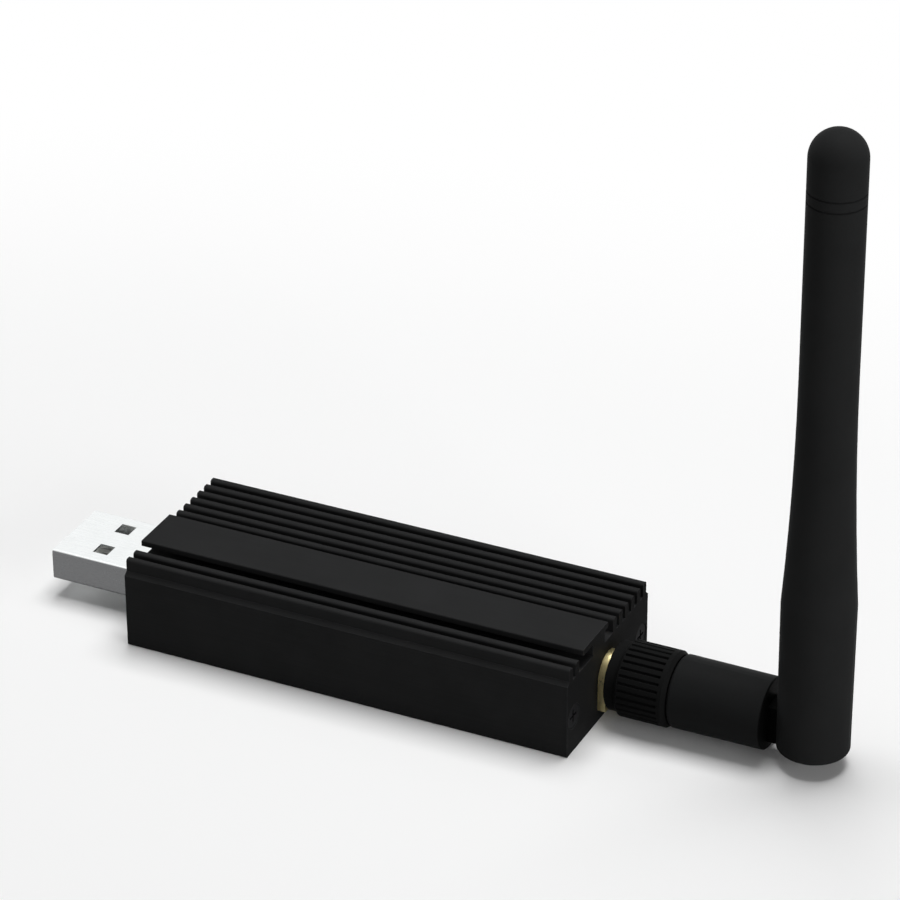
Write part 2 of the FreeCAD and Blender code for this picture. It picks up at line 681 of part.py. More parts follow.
def make_regulator():
    """Five-legged regulator: a moulded body with bent legs on two sides."""
    x = BOARD_FRONT + BRIDGE_PLACE
    y = REGULATOR_RAIL_ROOM - RAIL_FACE
    length, width = REGULATOR_BODY
    body = box(x - length / 2, x + length / 2, y - width / 2, y + width / 2,
               BOARD_TOP + REGULATOR_LOW, BOARD_TOP + REGULATOR_HIGH)
    legs = []
    for side, places in ((-1, (-1, 0, 1)), (1, (-1, 1))):
        edge = y + side * width / 2
        knee = edge + side * REGULATOR_KNEE
        foot = edge + side * REGULATOR_FOOT
        for place in places:
            low_x = x + place * REGULATOR_LEG_PITCH - REGULATOR_LEG_WIDTH / 2
            high_x = low_x + REGULATOR_LEG_WIDTH
            legs.append(box(low_x, high_x, *sorted((edge, knee)),
                            BOARD_TOP, BOARD_TOP + REGULATOR_KNEE_HEIGHT))
            legs.append(box(low_x, high_x, *sorted((knee, foot)),
                            BOARD_TOP, BOARD_TOP + REGULATOR_FOOT_HEIGHT))
    return body.fuse(legs).removeSplitter()


def make_capacitors():
    """Pairs of capacitors by the bridge chip and between the switches and the can."""
    places = [(BOARD_FRONT + place, y) for place, y in FRONT_CAPACITORS]
    places += [(CAN_FRONT - setback, RAIL_FACE - room) for setback, room in CAN_CAPACITORS]
    return Part.Compound([on_board(CAPACITOR, x, side * y) for x, y in places for side in (-1, 1)])


def make_filter_parts():
    """Row of small matching parts between the radio and the jack's tail."""
    start = JACK_BACK - FILTER_SETBACK
    return Part.Compound([on_board(FILTER_PART, start + index * FILTER_PITCH, 0)
                          for index in range(FILTER_COUNT)])


def make_status_lights():
    x = BOARD_FRONT + LIGHTS_PLACE
    return Part.Compound([on_board(STATUS_LIGHT, x, side * LIGHTS_SPACING / 2) for side in (-1, 1)])


def make_jack_body():
    """Brass jack: flat-footed shoulder, round barrel with a neck, open mouth and board legs."""
    body = prism_x(shoulder_section(0), JACK_BACK, END_FACE + JACK_SHOULDER_PROUD)
    neck_radius = JACK_THREAD_RADIUS - JACK_NECK_STEP
    neck_end = JACK_SHOULDER_PROUD + JACK_NECK_LENGTH
    barrel = turned_x([
        (0, 0, 0),
        (0, neck_radius, 0),
        (neck_end, neck_radius, 0),
        (neck_end + JACK_NECK_STEP, JACK_THREAD_RADIUS, 0),
        (JACK_REACH - JACK_TIP_CHAMFER, JACK_THREAD_RADIUS, 0),
        (JACK_REACH, JACK_THREAD_RADIUS - JACK_TIP_CHAMFER, 0),
        (JACK_REACH, 0, 0),
    ])
    body = body.fuse(barrel)
    body = body.cut(rod_x(JACK_CORE_RADIUS, JACK_BACK, END_FACE + JACK_REACH))
    body = body.cut(rod_x(JACK_MOUTH_RADIUS, END_FACE + CORE_PLANE, END_FACE + JACK_REACH))
    legs = []
    for side in (-1, 1):
        y = side * (JACK_SHOULDER / 2 - JACK_LEG_INSET)
        for low in (BOARD_TOP, BOARD_BOTTOM - JACK_LEG):
            legs.append(box(JACK_BACK - JACK_LEG_LENGTH, PLATE_FACE, y - JACK_LEG / 2,
                            y + JACK_LEG / 2, low, low + JACK_LEG))
    return body.fuse(legs).removeSplitter()


def tube_x(inner_radius, outer_radius, start, end):
    """Tube on the jack's axis between two places past the end plate's face."""
    tube = rod_x(outer_radius, END_FACE + start, END_FACE + end)
    return tube.cut(rod_x(inner_radius, END_FACE + start, END_FACE + end))


def make_jack_insulator():
    return tube_x(JACK_PIN_RADIUS, JACK_CORE_RADIUS, JACK_BACK - END_FACE, CORE_PLANE)


def make_jack_contact():
    """Centre contact: an open socket in front and a thin tail on the board behind."""
    front = END_FACE + CORE_PLANE
    socket = rod_x(JACK_PIN_RADIUS, JACK_BACK, front)
    tail = rod_x(JACK_TAIL_RADIUS, JACK_BACK - JACK_TAIL_LENGTH, JACK_BACK)
    contact = socket.fuse(tail)
    return contact.cut(rod_x(JACK_SOCKET_RADIUS, front - JACK_SOCKET_DEPTH, front)).removeSplitter()


def make_plug_ferrule():
    """Outer conductor: nose for the jack's mouth, shoulder with the ring groove, and tail."""
    ring_end = RING_START + RING_THICKNESS + 2 * FIT
    snap_end = SNAP_START + SNAP_THICKNESS + 2 * FIT
    ferrule = turned_x([
        (NOSE_START, 0, 0),
        (NOSE_START, NOSE_RADIUS, 0),
        (SHOULDER_START, NOSE_RADIUS, 0),
        (SHOULDER_START, SHOULDER_RADIUS, 0),
        (RING_START, SHOULDER_RADIUS, 0),
        (RING_START, RING_INNER - FIT, 0),
        (ring_end, RING_INNER - FIT, 0),
        (ring_end, SHOULDER_RADIUS, 0),
        (SHOULDER_END, SHOULDER_RADIUS, 0),
        (SHOULDER_END, TAIL_RADIUS, 0),
        (SNAP_START, TAIL_RADIUS, 0),
        (SNAP_START, SNAP_INNER - FIT, 0),
        (snap_end, SNAP_INNER - FIT, 0),
        (snap_end, TAIL_RADIUS, 0),
        (TAIL_END, TAIL_RADIUS, 0),
        (TAIL_END, 0, 0),
    ])
    ferrule = ferrule.cut(rod_x(JACK_CORE_RADIUS, END_FACE + NOSE_START, END_FACE + CORE_END))
    return ferrule.cut(rod_x(CABLE_BORE, END_FACE + CORE_END, END_FACE + TAIL_END))


def make_plug_insulator():
    return tube_x(PIN_RADIUS, JACK_CORE_RADIUS, NOSE_START, CORE_END)


def make_plug_pin():
    """Centre pin with a pointed nose that enters the jack's socket."""
    tip = NOSE_START - PIN_REACH
    return turned_x([
        (tip, 0, 0),
        (tip, PIN_RADIUS / 3, 0),
        (tip + PIN_POINT, PIN_RADIUS, 0),
        (CORE_END, PIN_RADIUS, 0),
        (CORE_END, 0, 0),
    ])


def make_plug_gasket():
    return tube_x(NOSE_RADIUS, SHOULDER_RADIUS, SHOULDER_START - GASKET_THICKNESS, SHOULDER_START)


def open_ring(inner_radius, outer_radius, start, thickness):
    """Spring ring with a gap at the bottom, so that it can be opened over its groove."""
    depth = outer_radius + 2 * thickness
    reach = depth * math.tan(math.radians(RING_GAP_DEGREES / 2))
    gap = prism_x([(0, AXIS_Z, 0), (-reach, AXIS_Z - depth, 0), (reach, AXIS_Z - depth, 0)],
                  END_FACE + start, END_FACE + start + thickness)
    return tube_x(inner_radius, outer_radius, start, start + thickness).cut(gap)


def knurl_cutter(angle):
    """Tapered bar along the nut that leaves one groove with sloping sides."""
    floor = AXIS_Z + NUT_RADIUS - KNURL_DEPTH
    above = AXIS_Z + NUT_RADIUS + KNURL_DEPTH
    half = KNURL_FLOOR / 2
    flare = KNURL_WIDTH - KNURL_FLOOR
    corners = [(-half, floor, 0), (half, floor, 0), (half + flare, above, 0), (-half - flare, above, 0)]
    cutter = prism_x(corners, END_FACE + KNURL_START, END_FACE + KNURL_END)
    cutter.rotate(vec(0, 0, AXIS_Z), vec(1, 0, 0), angle)
    return cutter


def make_nut_sleeve():
    """Knurled grip: plain front collar, straight grooves, plain rear collar and inner lip."""
    front_radius = INSERT_RADIUS + NUT_FRONT_WALL
    collar_end = NUT_START + NUT_FRONT_COLLAR
    lip_radius = TAIL_RADIUS + NUT_LIP_GAP
    sleeve = turned_x([
        (NUT_START, INSERT_RADIUS, 0),
        (NUT_START, front_radius - NUT_EDGE, 0),
        (NUT_START + NUT_EDGE, front_radius, 0),
        (collar_end, front_radius, 0),
        (collar_end + NUT_STEP, NUT_RADIUS, 0),
        (NUT_END - NUT_REAR_CHAMFER, NUT_RADIUS, 0),
        (NUT_END, INSERT_RADIUS + NUT_REAR_WALL, 0),
        (NUT_END, lip_radius, 0),
        (INSERT_END, lip_radius, 0),
        (INSERT_END, INSERT_RADIUS, 0),
    ])
    return sleeve.cut([knurl_cutter(360 * index / KNURL_COUNT) for index in range(KNURL_COUNT)])


def make_nut_insert():
    """Brass core of the nut: thread bore in front and the ring's groove behind."""
    insert = tube_x(JACK_THREAD_RADIUS + FIT, INSERT_RADIUS, NUT_START, INSERT_END)
    insert = insert.cut(rod_x(INSERT_BACK_RADIUS, END_FACE + THREAD_END, END_FACE + INSERT_END))
    groove_start = END_FACE + RING_START - FIT
    groove_end = END_FACE + RING_START + RING_THICKNESS + 3 * FIT
    return insert.cut(rod_x(RING_OUTER + FIT, groove_start, groove_end))


def make_swivel_barrel():
    """Barrel that turns on the ferrule's tail and ends in the hinge tongue."""
    barrel = turned_x([
        (BARREL_START, 0, 0),
        (BARREL_START, BARREL_RADIUS - BARREL_START_CHAMFER, 0),
        (BARREL_START + BARREL_START_CHAMFER, BARREL_RADIUS, 0),
        (BARREL_END - BARREL_END_CHAMFER, BARREL_END_RADIUS, 0),
        (BARREL_END, BARREL_END_RADIUS - BARREL_END_CHAMFER, 0),
        (BARREL_END, 0, 0),
    ])
    tongue = box(END_FACE + BARREL_END - TONGUE_ROOT, HINGE_X, -TONGUE_WIDTH / 2, TONGUE_WIDTH / 2,
                 AXIS_Z - TONGUE_RADIUS, AXIS_Z + TONGUE_RISE)
    knuckle = rod_y(TONGUE_RADIUS, -TONGUE_WIDTH / 2, TONGUE_WIDTH / 2, HINGE_X, AXIS_Z)
    reach = TONGUE_WIDTH / 2 + TRUNNION_LENGTH
    trunnions = rod_y(TRUNNION_RADIUS, -reach, reach, HINGE_X, AXIS_Z)
    barrel = barrel.fuse([tongue, knuckle, trunnions])
    bore_end = END_FACE + TAIL_END + BARREL_BORE_ROOM
    barrel = barrel.cut(rod_x(TAIL_RADIUS + FIT, END_FACE + BARREL_START, bore_end))
    snap_end = SNAP_START + SNAP_THICKNESS + 2 * FIT
    barrel = barrel.cut(rod_x(SNAP_OUTER + FIT, END_FACE + SNAP_START, END_FACE + snap_end))
    tongue_end = HINGE_X + 2 * TONGUE_RADIUS
    barrel = barrel.cut(rod_x(CABLE_BORE, END_FACE + TAIL_END, tongue_end))
    slot = box(END_FACE + BARREL_END + CABLE_SLOT_PLACE, tongue_end, -CABLE_BORE, CABLE_BORE,
               AXIS_Z, AXIS_Z + 2 * TONGUE_RADIUS)
    return barrel.cut(slot).removeSplitter()


def make_lower_coax():
    return rod_x(CABLE_RADIUS, END_FACE + CORE_END, HINGE_X - CABLE_BEND_GAP)


def whip_taper_middle():
    """Middle of the long arc from the knee to the slim top, which it meets at a tangent."""
    run = WHIP_TAPER_HEIGHT - WHIP_KNEE_HEIGHT
    drop = WHIP_KNEE_RADIUS - WHIP_TOP_RADIUS
    arc_radius = (run * run + drop * drop) / (2 * drop)
    half_sweep = math.asin(run / arc_radius) / 2
    return vec(WHIP_TOP_RADIUS + arc_radius * (1 - math.cos(half_sweep)),
               WHIP_TAPER_HEIGHT - arc_radius * math.sin(half_sweep), 0)


def make_whip_sleeve():
    """Tapered sleeve of the rod with the fork that hides the hinge."""
    foot = outline([
        (0, -WHIP_BOTTOM, 0),
        (WHIP_BASE_RADIUS, -WHIP_BOTTOM, WHIP_BOTTOM_ROUND),
        (WHIP_KNEE_RADIUS, WHIP_KNEE_HEIGHT, 0),
        (0, WHIP_KNEE_HEIGHT, 0),
    ], whip_place)
    knee = whip_place(vec(WHIP_KNEE_RADIUS, WHIP_KNEE_HEIGHT, 0))
    taper_end = whip_place(vec(WHIP_TOP_RADIUS, WHIP_TAPER_HEIGHT, 0))
    points = [
        (WHIP_TOP_RADIUS, WHIP_TAPER_HEIGHT),
        (WHIP_TOP_RADIUS, CAP_SEAM - GROOVE_HALF_WIDTH),
        (WHIP_TOP_RADIUS - GROOVE_DEPTH, CAP_SEAM),
        (0, CAP_SEAM),
        (0, WHIP_KNEE_HEIGHT),
        (WHIP_KNEE_RADIUS, WHIP_KNEE_HEIGHT),
    ]
    edges = [Part.Arc(knee, whip_place(whip_taper_middle()), taper_end).toShape()]
    for start, finish in zip(points, points[1:]):
        edges.append(Part.LineSegment(whip_place(vec(*start, 0)), whip_place(vec(*finish, 0))).toShape())
    sleeve = turned_whip(foot).fuse(turned_whip(Part.Wire(edges))).removeSplitter()
    sleeve = sleeve.cut(whip_rod(CABLE_BORE, 0, CAP_SEAM))
    sleeve = sleeve.cut(whip_rod(CAVITY_RADIUS, CAVITY_START, CAP_SEAM))
    return sleeve.cut(make_fork_room()).removeSplitter()


def make_fork_room():
    """Room that the tongue sweeps from upright to straight, and the trunnions' sockets."""
    half = TONGUE_WIDTH / 2 + FORK_GAP
    reach = TONGUE_RADIUS + FORK_REACH_GAP
    outside = HINGE_X - 2 * WHIP_KNEE_RADIUS
    below = AXIS_Z - 2 * WHIP_BOTTOM
    room = prism_y([
        (outside, below, 0),
        (HINGE_X + reach, below, 0),
        (HINGE_X + reach, AXIS_Z + reach, reach * FORK_CORNER_SHARE),
        (outside, AXIS_Z + reach, 0),
    ], -half, half)
    socket_reach = TONGUE_WIDTH / 2 + TRUNNION_LENGTH + 2 * FIT
    return room.fuse(rod_y(TRUNNION_RADIUS + FIT, -socket_reach, socket_reach, HINGE_X, AXIS_Z))


def make_whip_cap():
    """Domed cap with a grooved band; its spigot plugs into the sleeve."""
    radius = WHIP_TOP_RADIUS
    groove = CAP_SEAM + CAP_GROOVE_PLACE
    cap = turned_whip(outline([
        (0, CAP_SEAM, 0),
        (radius - GROOVE_DEPTH, CAP_SEAM, 0),
        (radius, CAP_SEAM + GROOVE_HALF_WIDTH, 0),
        (radius, groove - GROOVE_HALF_WIDTH, 0),
        (radius - GROOVE_DEPTH, groove, 0),
        (radius, groove + GROOVE_HALF_WIDTH, 0),
        (radius, WHIP_TOP, radius),
        (0, WHIP_TOP, 0),
    ], whip_place))
    spigot = whip_rod(CAVITY_RADIUS - FIT, CAP_SEAM - SPIGOT_LENGTH, CAP_SEAM)
    hollow = whip_rod(CAVITY_RADIUS - SPIGOT_WALL, CAP_SEAM - SPIGOT_LENGTH, CAP_SEAM + SPIGOT_HOLLOW)
    return cap.fuse(spigot).cut(hollow).removeSplitter()


def make_upper_coax():
    return whip_rod(CABLE_RADIUS, CABLE_BEND_GAP, UPPER_CABLE_END)


def make_radiator_sleeve():
    """Brass tube round the cable, closed at its top where the braid is joined."""
    low = UPPER_CABLE_END - RADIATOR_LENGTH
    tube = whip_rod(RADIATOR_RADIUS, low, UPPER_CABLE_END)
    tube = tube.cut(whip_rod(RADIATOR_RADIUS - RADIATOR_WALL, low, UPPER_CABLE_END - RADIATOR_WALL))
    return tube.cut(whip_rod(CABLE_RADIUS, UPPER_CABLE_END - RADIATOR_WALL, UPPER_CABLE_END))


def make_radiator_wire():
    return whip_rod(WIRE_RADIUS, UPPER_CABLE_END, UPPER_CABLE_END + WIRE_LENGTH)


def make_radiator_spacer():
    spacer = whip_rod(CAVITY_RADIUS - FIT, SPACER_PLACE, SPACER_PLACE + SPACER_LENGTH)
    return spacer.cut(whip_rod(WIRE_RADIUS, SPACER_PLACE, SPACER_PLACE + SPACER_LENGTH))


def make_housing_nodes():
    return {
        "housing": make_housing(),
        "usb_end_plate": make_usb_end_plate(),
        "antenna_end_plate": make_antenna_end_plate(),
        "usb_end_screws": make_end_screws(-1),
        "antenna_end_screws": make_end_screws(1),
    }


def make_board_nodes():
    return {
        "circuit_board": make_circuit_board(),
        "usb_shell": make_usb_shell(),
        "usb_insulator": make_usb_insulator(),
        "usb_contacts": make_usb_contacts(),
        "usb_bridge_chip": on_board(BRIDGE_CHIP, BOARD_FRONT + BRIDGE_PLACE, BRIDGE_SIDE),
        "voltage_regulator": make_regulator(),
        "clock_crystal": on_board(CLOCK_CRYSTAL, BOARD_FRONT + CRYSTAL_PLACE,
                                  RAIL_FACE - CRYSTAL_RAIL_ROOM),
        "radio_chip": on_board(RADIO_CHIP, CAN_MIDDLE + RADIO_CHIP_PLACE, 0),
        "radio_crystal": on_board(RADIO_CRYSTAL, CAN_MIDDLE + RADIO_CRYSTAL_PLACE,
                                  RADIO_CRYSTAL_SIDE),
        "shield_can": make_shield_can(),
        "boot_switch": make_switch_body(-1),
        "reset_switch": make_switch_body(1),
        "boot_plunger": make_plunger(-1),
        "reset_plunger": make_plunger(1),
        "capacitors": make_capacitors(),
        "filter_parts": make_filter_parts(),
        "status_lights": make_status_lights(),
    }


def make_connector_nodes():
    return {
        "jack_body": make_jack_body(),
        "jack_insulator": make_jack_insulator(),
        "jack_contact": make_jack_contact(),
        "plug_ferrule": make_plug_ferrule(),
        "plug_insulator": make_plug_insulator(),
        "plug_pin": make_plug_pin(),
        "plug_gasket": make_plug_gasket(),
        "retaining_ring": open_ring(RING_INNER, RING_OUTER, RING_START + FIT, RING_THICKNESS),
        "nut_sleeve": make_nut_sleeve(),
        "nut_insert": make_nut_insert(),
    }


def make_antenna_nodes():
    return {
        "swivel_barrel": make_swivel_barrel(),
        "snap_ring": open_ring(SNAP_INNER, SNAP_OUTER, SNAP_START + FIT, SNAP_THICKNESS),
        "lower_coax": make_lower_coax(),
        "whip_sleeve": make_whip_sleeve(),
        "whip_cap": make_whip_cap(),
        "upper_coax": make_upper_coax(),
        "radiator_sleeve": make_radiator_sleeve(),
        "radiator_wire": make_radiator_wire(),
        "radiator_spacer": make_radiator_spacer(),
    }


os.makedirs("parts", exist_ok=True)
for group in (make_housing_nodes(), make_board_nodes(), make_connector_nodes(), make_antenna_nodes()):
    for name, shape in group.items():
        shape.exportStep(os.path.join("parts", name + ".step"))
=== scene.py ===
"""Looks of a USB radio stick with a hinged screw-on antenna.

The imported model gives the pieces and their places. This script gives each one its finish,
makes the screw threads, the solder pads and the metal ends of small parts by rule, and sets
the floor, the lamps and the camera. Lengths are in metres; MM turns millimetres into metres.
"""
import functools
import logging
import math
from dataclasses import dataclass
from enum import Enum
from typing import ClassVar

import bmesh
import bpy
from mathutils import Matrix, Vector


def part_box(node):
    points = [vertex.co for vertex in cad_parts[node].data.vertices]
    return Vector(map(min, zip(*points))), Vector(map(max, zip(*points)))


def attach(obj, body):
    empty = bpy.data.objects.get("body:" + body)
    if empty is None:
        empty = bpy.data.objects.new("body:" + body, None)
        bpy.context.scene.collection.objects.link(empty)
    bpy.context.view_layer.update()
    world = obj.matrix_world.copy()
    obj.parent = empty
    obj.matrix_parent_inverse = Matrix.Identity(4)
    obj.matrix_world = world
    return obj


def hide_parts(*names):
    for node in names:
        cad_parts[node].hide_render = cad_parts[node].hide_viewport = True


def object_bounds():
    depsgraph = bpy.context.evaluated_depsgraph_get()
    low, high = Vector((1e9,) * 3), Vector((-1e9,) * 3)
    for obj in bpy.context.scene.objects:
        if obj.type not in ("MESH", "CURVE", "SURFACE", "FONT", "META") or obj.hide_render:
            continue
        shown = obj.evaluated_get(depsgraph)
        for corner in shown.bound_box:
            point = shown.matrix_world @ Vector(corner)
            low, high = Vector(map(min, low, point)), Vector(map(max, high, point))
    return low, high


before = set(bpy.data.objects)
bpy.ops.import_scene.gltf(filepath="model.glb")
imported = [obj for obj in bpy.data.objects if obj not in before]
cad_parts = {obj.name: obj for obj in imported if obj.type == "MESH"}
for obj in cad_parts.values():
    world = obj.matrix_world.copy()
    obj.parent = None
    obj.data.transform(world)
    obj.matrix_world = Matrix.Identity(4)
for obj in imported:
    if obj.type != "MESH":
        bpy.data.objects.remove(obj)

MM = 0.001
CAD_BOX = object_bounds()
LOG = logging.getLogger("radio_stick")

# Shape of a thread's ridge: how steep its flanks are and how round its crest is.
THREAD_FLANK = 1.25
CREST_ROUNDING = 0.15

# Distances under which a point lies on a wall, and two points are one.
WALL_TOLERANCE = 0.002 * MM
MERGE_DISTANCE = 0.001 * MM

Color = tuple[float, float, float]
Size = float | tuple[float, float, float]
Corner = tuple[float, float]
Block = tuple[Vector, Vector]


class Wire:
    """An output socket whose arithmetic adds Math nodes to its tree."""

    def __init__(self, graph: "Graph", socket: bpy.types.NodeSocket) -> None:
        """Keeps the tree's writer and the socket."""
        self.graph = graph
        self.socket = socket

    def __add__(self, other: "Wire | float") -> "Wire":
        """Sum of the two values."""
        return self.graph.math("ADD", self, other)

    __radd__ = __add__

    def __sub__(self, other: "Wire | float") -> "Wire":
        """This value less the other."""
        return self.graph.math("SUBTRACT", self, other)

    def __rsub__(self, other: float) -> "Wire":
        """The other value less this one."""
        return self.graph.math("SUBTRACT", other, self)

    def __mul__(self, other: "Wire | float") -> "Wire":
        """Product of the two values."""
        return self.graph.math("MULTIPLY", self, other)

    __rmul__ = __mul__

    def __truediv__(self, other: "Wire | float") -> "Wire":
        """This value divided by the other."""
        return self.graph.math("DIVIDE", self, other)

    def __abs__(self) -> "Wire":
        """Size of the value without its sign."""
        return self.graph.math("ABSOLUTE", self)

    def at_most(self, other: "Wire | float") -> "Wire":
        """The smaller of the two values."""
        return self.graph.math("MINIMUM", self, other)

    def at_least(self, other: "Wire | float") -> "Wire":
        """The larger of the two values."""
        return self.graph.math("MAXIMUM", self, other)

    def rise(self, low: float, high: float, to_low: float = 0.0, to_high: float = 1.0) -> "Wire":
        """Smooth rise from one level to another.

        Args:
            low: value at which the rise starts.
            high: value at which it ends; it may be the smaller one, for a fall.
            to_low: level at the start.
            to_high: level at the end.

        Returns:
            The level at this value.
        """
        if low > high:
            return self.rise(high, low, to_high, to_low)
        settings = {"interpolation_type": "SMOOTHSTEP"}
        sockets = {
            "Value": self,
            "From Min": low,
            "From Max": high,
            "To Min": to_low,
            "To Max": to_high,
        }
        return self.graph.out(self.graph.node("ShaderNodeMapRange", settings, sockets))

    def near(self, place: float, width: float) -> "Wire":
        """1 where the value is at a place, falling to 0 at a width from it.

        Args:
            place: value with the level 1.
            width: distance at which the level is 0.

        Returns:
            The level at this value.
        """
        return abs(self - place).rise(width, 0.0)


Layers = tuple[Wire, Wire, Wire]


class Graph:
    """Writes a node tree by method calls."""

    def __init__(self, tree: bpy.types.NodeTree) -> None:
        """Keeps the tree that the nodes go into."""
        self.tree = tree

    def node(
        self,
        kind: str,
        settings: dict[str, object] | None = None,
        sockets: dict[str | int, object] | None = None,
    ) -> bpy.types.Node:
        """Adds a node, sets it and then fills its input sockets.

        Args:
            kind: type name of the node.
            settings: its properties by name.
            sockets: values or wires by the socket's name or number.

        Returns:
            The new node.
        """
        made = self.tree.nodes.new(kind)
        for name, value in (settings or {}).items():
            setattr(made, name, value)
        for key, value in (sockets or {}).items():
            self.fill(made.inputs[key], value)
        return made

    def fill(self, socket: bpy.types.NodeSocket, value: object) -> None:
        """Links a wire to a socket, or sets the socket's own value.

        Args:
            socket: input socket to fill.
            value: a wire, a number, a vector, a colour of three parts or a data block.
        """
        if isinstance(value, Wire):
            self.tree.links.new(value.socket, socket)
        elif socket.type == "RGBA" and len(value) == 3:
            socket.default_value = (*value, 1.0)
        else:
            socket.default_value = value

    def out(self, node: bpy.types.Node, key: str | int = 0) -> Wire:
        """The wire of one of a node's outputs."""
        return Wire(self, node.outputs[key])

    def math(self, operation: str, *values: Wire | float) -> Wire:
        """Adds a Math node.

        Args:
            operation: name of the operation.
            values: its inputs in order.

        Returns:
            The node's result.
        """
        made = self.node("ShaderNodeMath", {"operation": operation}, dict(enumerate(values)))
        return self.out(made)

    def vector_math(self, operation: str, *values: Wire | tuple) -> Wire:
        """Adds a Vector Math node.

        Args:
            operation: name of the operation.
            values: its vectors in order.

        Returns:
            The node's vector, or its number for an operation that gives one.
        """
        made = self.node("ShaderNodeVectorMath", {"operation": operation}, dict(enumerate(values)))
        return self.out(made, "Value" if operation in ("LENGTH", "DOT_PRODUCT") else "Vector")

    def mix(self, factor: Wire | float, first: Wire | Color, second: Wire | Color) -> Wire:
        """Colour between two colours.

        Args:
            factor: share of the second colour.
            first: colour at a factor of 0.
            second: colour at a factor of 1.

        Returns:
            The mixed colour.
        """
        made = self.node("ShaderNodeMix", {"data_type": "RGBA"}, {0: factor, 6: first, 7: second})
        return self.out(made, 2)

    def split(self, vector: Wire) -> tuple[Wire, Wire, Wire]:
        """The three parts of a vector."""
        made = self.node("ShaderNodeSeparateXYZ", None, {0: vector})
        return self.out(made, 0), self.out(made, 1), self.out(made, 2)


class SurfaceGraph(Graph):
    """Writes a material's tree, with patterns measured in millimetres on the piece.

    Attributes:
        BEVEL_SAMPLES: rays by which a softened edge is found.
        EDGE_FROM: turn of the normal, as 1 less its cosine, from which an edge shows.
        EDGE_AT: turn at which it shows fully.
    """

    BEVEL_SAMPLES = 4
    EDGE_FROM = 0.005
    EDGE_AT = 0.12

    @functools.cached_property
    def place(self) -> Wire:
        """Place on the piece, in millimetres."""
        coordinates = self.node("ShaderNodeTexCoord")
        return self.vector_math("MULTIPLY", self.out(coordinates, "Object"), (1 / MM,) * 3)

    @functools.cached_property
    def normal(self) -> Wire:
        """Direction that the piece's own surface faces."""
        return self.out(self.node("ShaderNodeNewGeometry"), "Normal")

    def noise(self, size: Size, detail: float = 2.0, shift: float = 0.0) -> Wire:
        """Soft random pattern of about 0 to 1.

        Args:
            size: size of the pattern's spots, in millimetres, the same all ways or by axis.
            detail: number of finer layers.
            shift: offset that gives a different pattern of the same kind.

        Returns:
            The pattern's level.
        """
        sizes = size if isinstance(size, tuple) else (size,) * 3
        scaled = self.vector_math("DIVIDE", self.place, sizes)
        moved = self.vector_math("ADD", scaled, (shift,) * 3)
        sockets = {"Vector": moved, "Scale": 1.0, "Detail": detail}
        return self.out(self.node("ShaderNodeTexNoise", None, sockets))

    def cells(self, size: float) -> Wire:
        """Distance to the middle of random cells, about 0 to 1.

        Args:
            size: size of the cells, in millimetres.

        Returns:
            The distance in shares of a cell.
        """
        sockets = {"Vector": self.vector_math("DIVIDE", self.place, (size,) * 3), "Scale": 1.0}
        return self.out(self.node("ShaderNodeTexVoronoi", None, sockets), "Distance")

    def bump(
        self, height: Wire, depth_mm: float, strength: float, normal: Wire | None = None
    ) -> Wire:
        """Normal of a surface with a small relief.

        Args:
            height: relief, from 0 to 1.
            depth_mm: depth of the relief at a height of 1, in millimetres.
            strength: share of the effect that is kept.
            normal: normal of the surface without the relief, or None for its own.

        Returns:
            The normal for a shader.
        """
        sockets = {"Strength": strength, "Distance": depth_mm * MM, "Height": height}
        if normal is not None:
            sockets["Normal"] = normal
        return self.out(self.node("ShaderNodeBump", None, sockets))

    def edges(self, width_mm: float) -> tuple[Wire, Wire]:
        """Normal with softened edges, and where those edges are.

        Args:
            width_mm: how far from an edge the softening reaches.

        Returns:
            The softened normal, and a level of 1 at an edge and 0 away from it.
        """
        settings = {"samples": self.BEVEL_SAMPLES}
        soft = self.out(self.node("ShaderNodeBevel", settings, {"Radius": width_mm * MM}))
        turned_away = 1.0 - self.vector_math("DOT_PRODUCT", soft, self.normal)
        return soft, turned_away.rise(self.EDGE_FROM, self.EDGE_AT)

    def mix_shader(
        self, factor: Wire, first: bpy.types.Node, second: bpy.types.Node
    ) -> bpy.types.Node:
        """Shader between those of two nodes.

        Args:
            factor: share of the second shader.
            first: node with the shader at a factor of 0.
            second: node with the shader at a factor of 1.

        Returns:
            The mixing node.
        """
        sockets = {0: factor, 1: self.out(first), 2: self.out(second)}
        return self.node("ShaderNodeMixShader", None, sockets)


class Axis(Enum):
    """Direction that a place is measured along."""

    X = 0
    Y = 1
    Z = 2


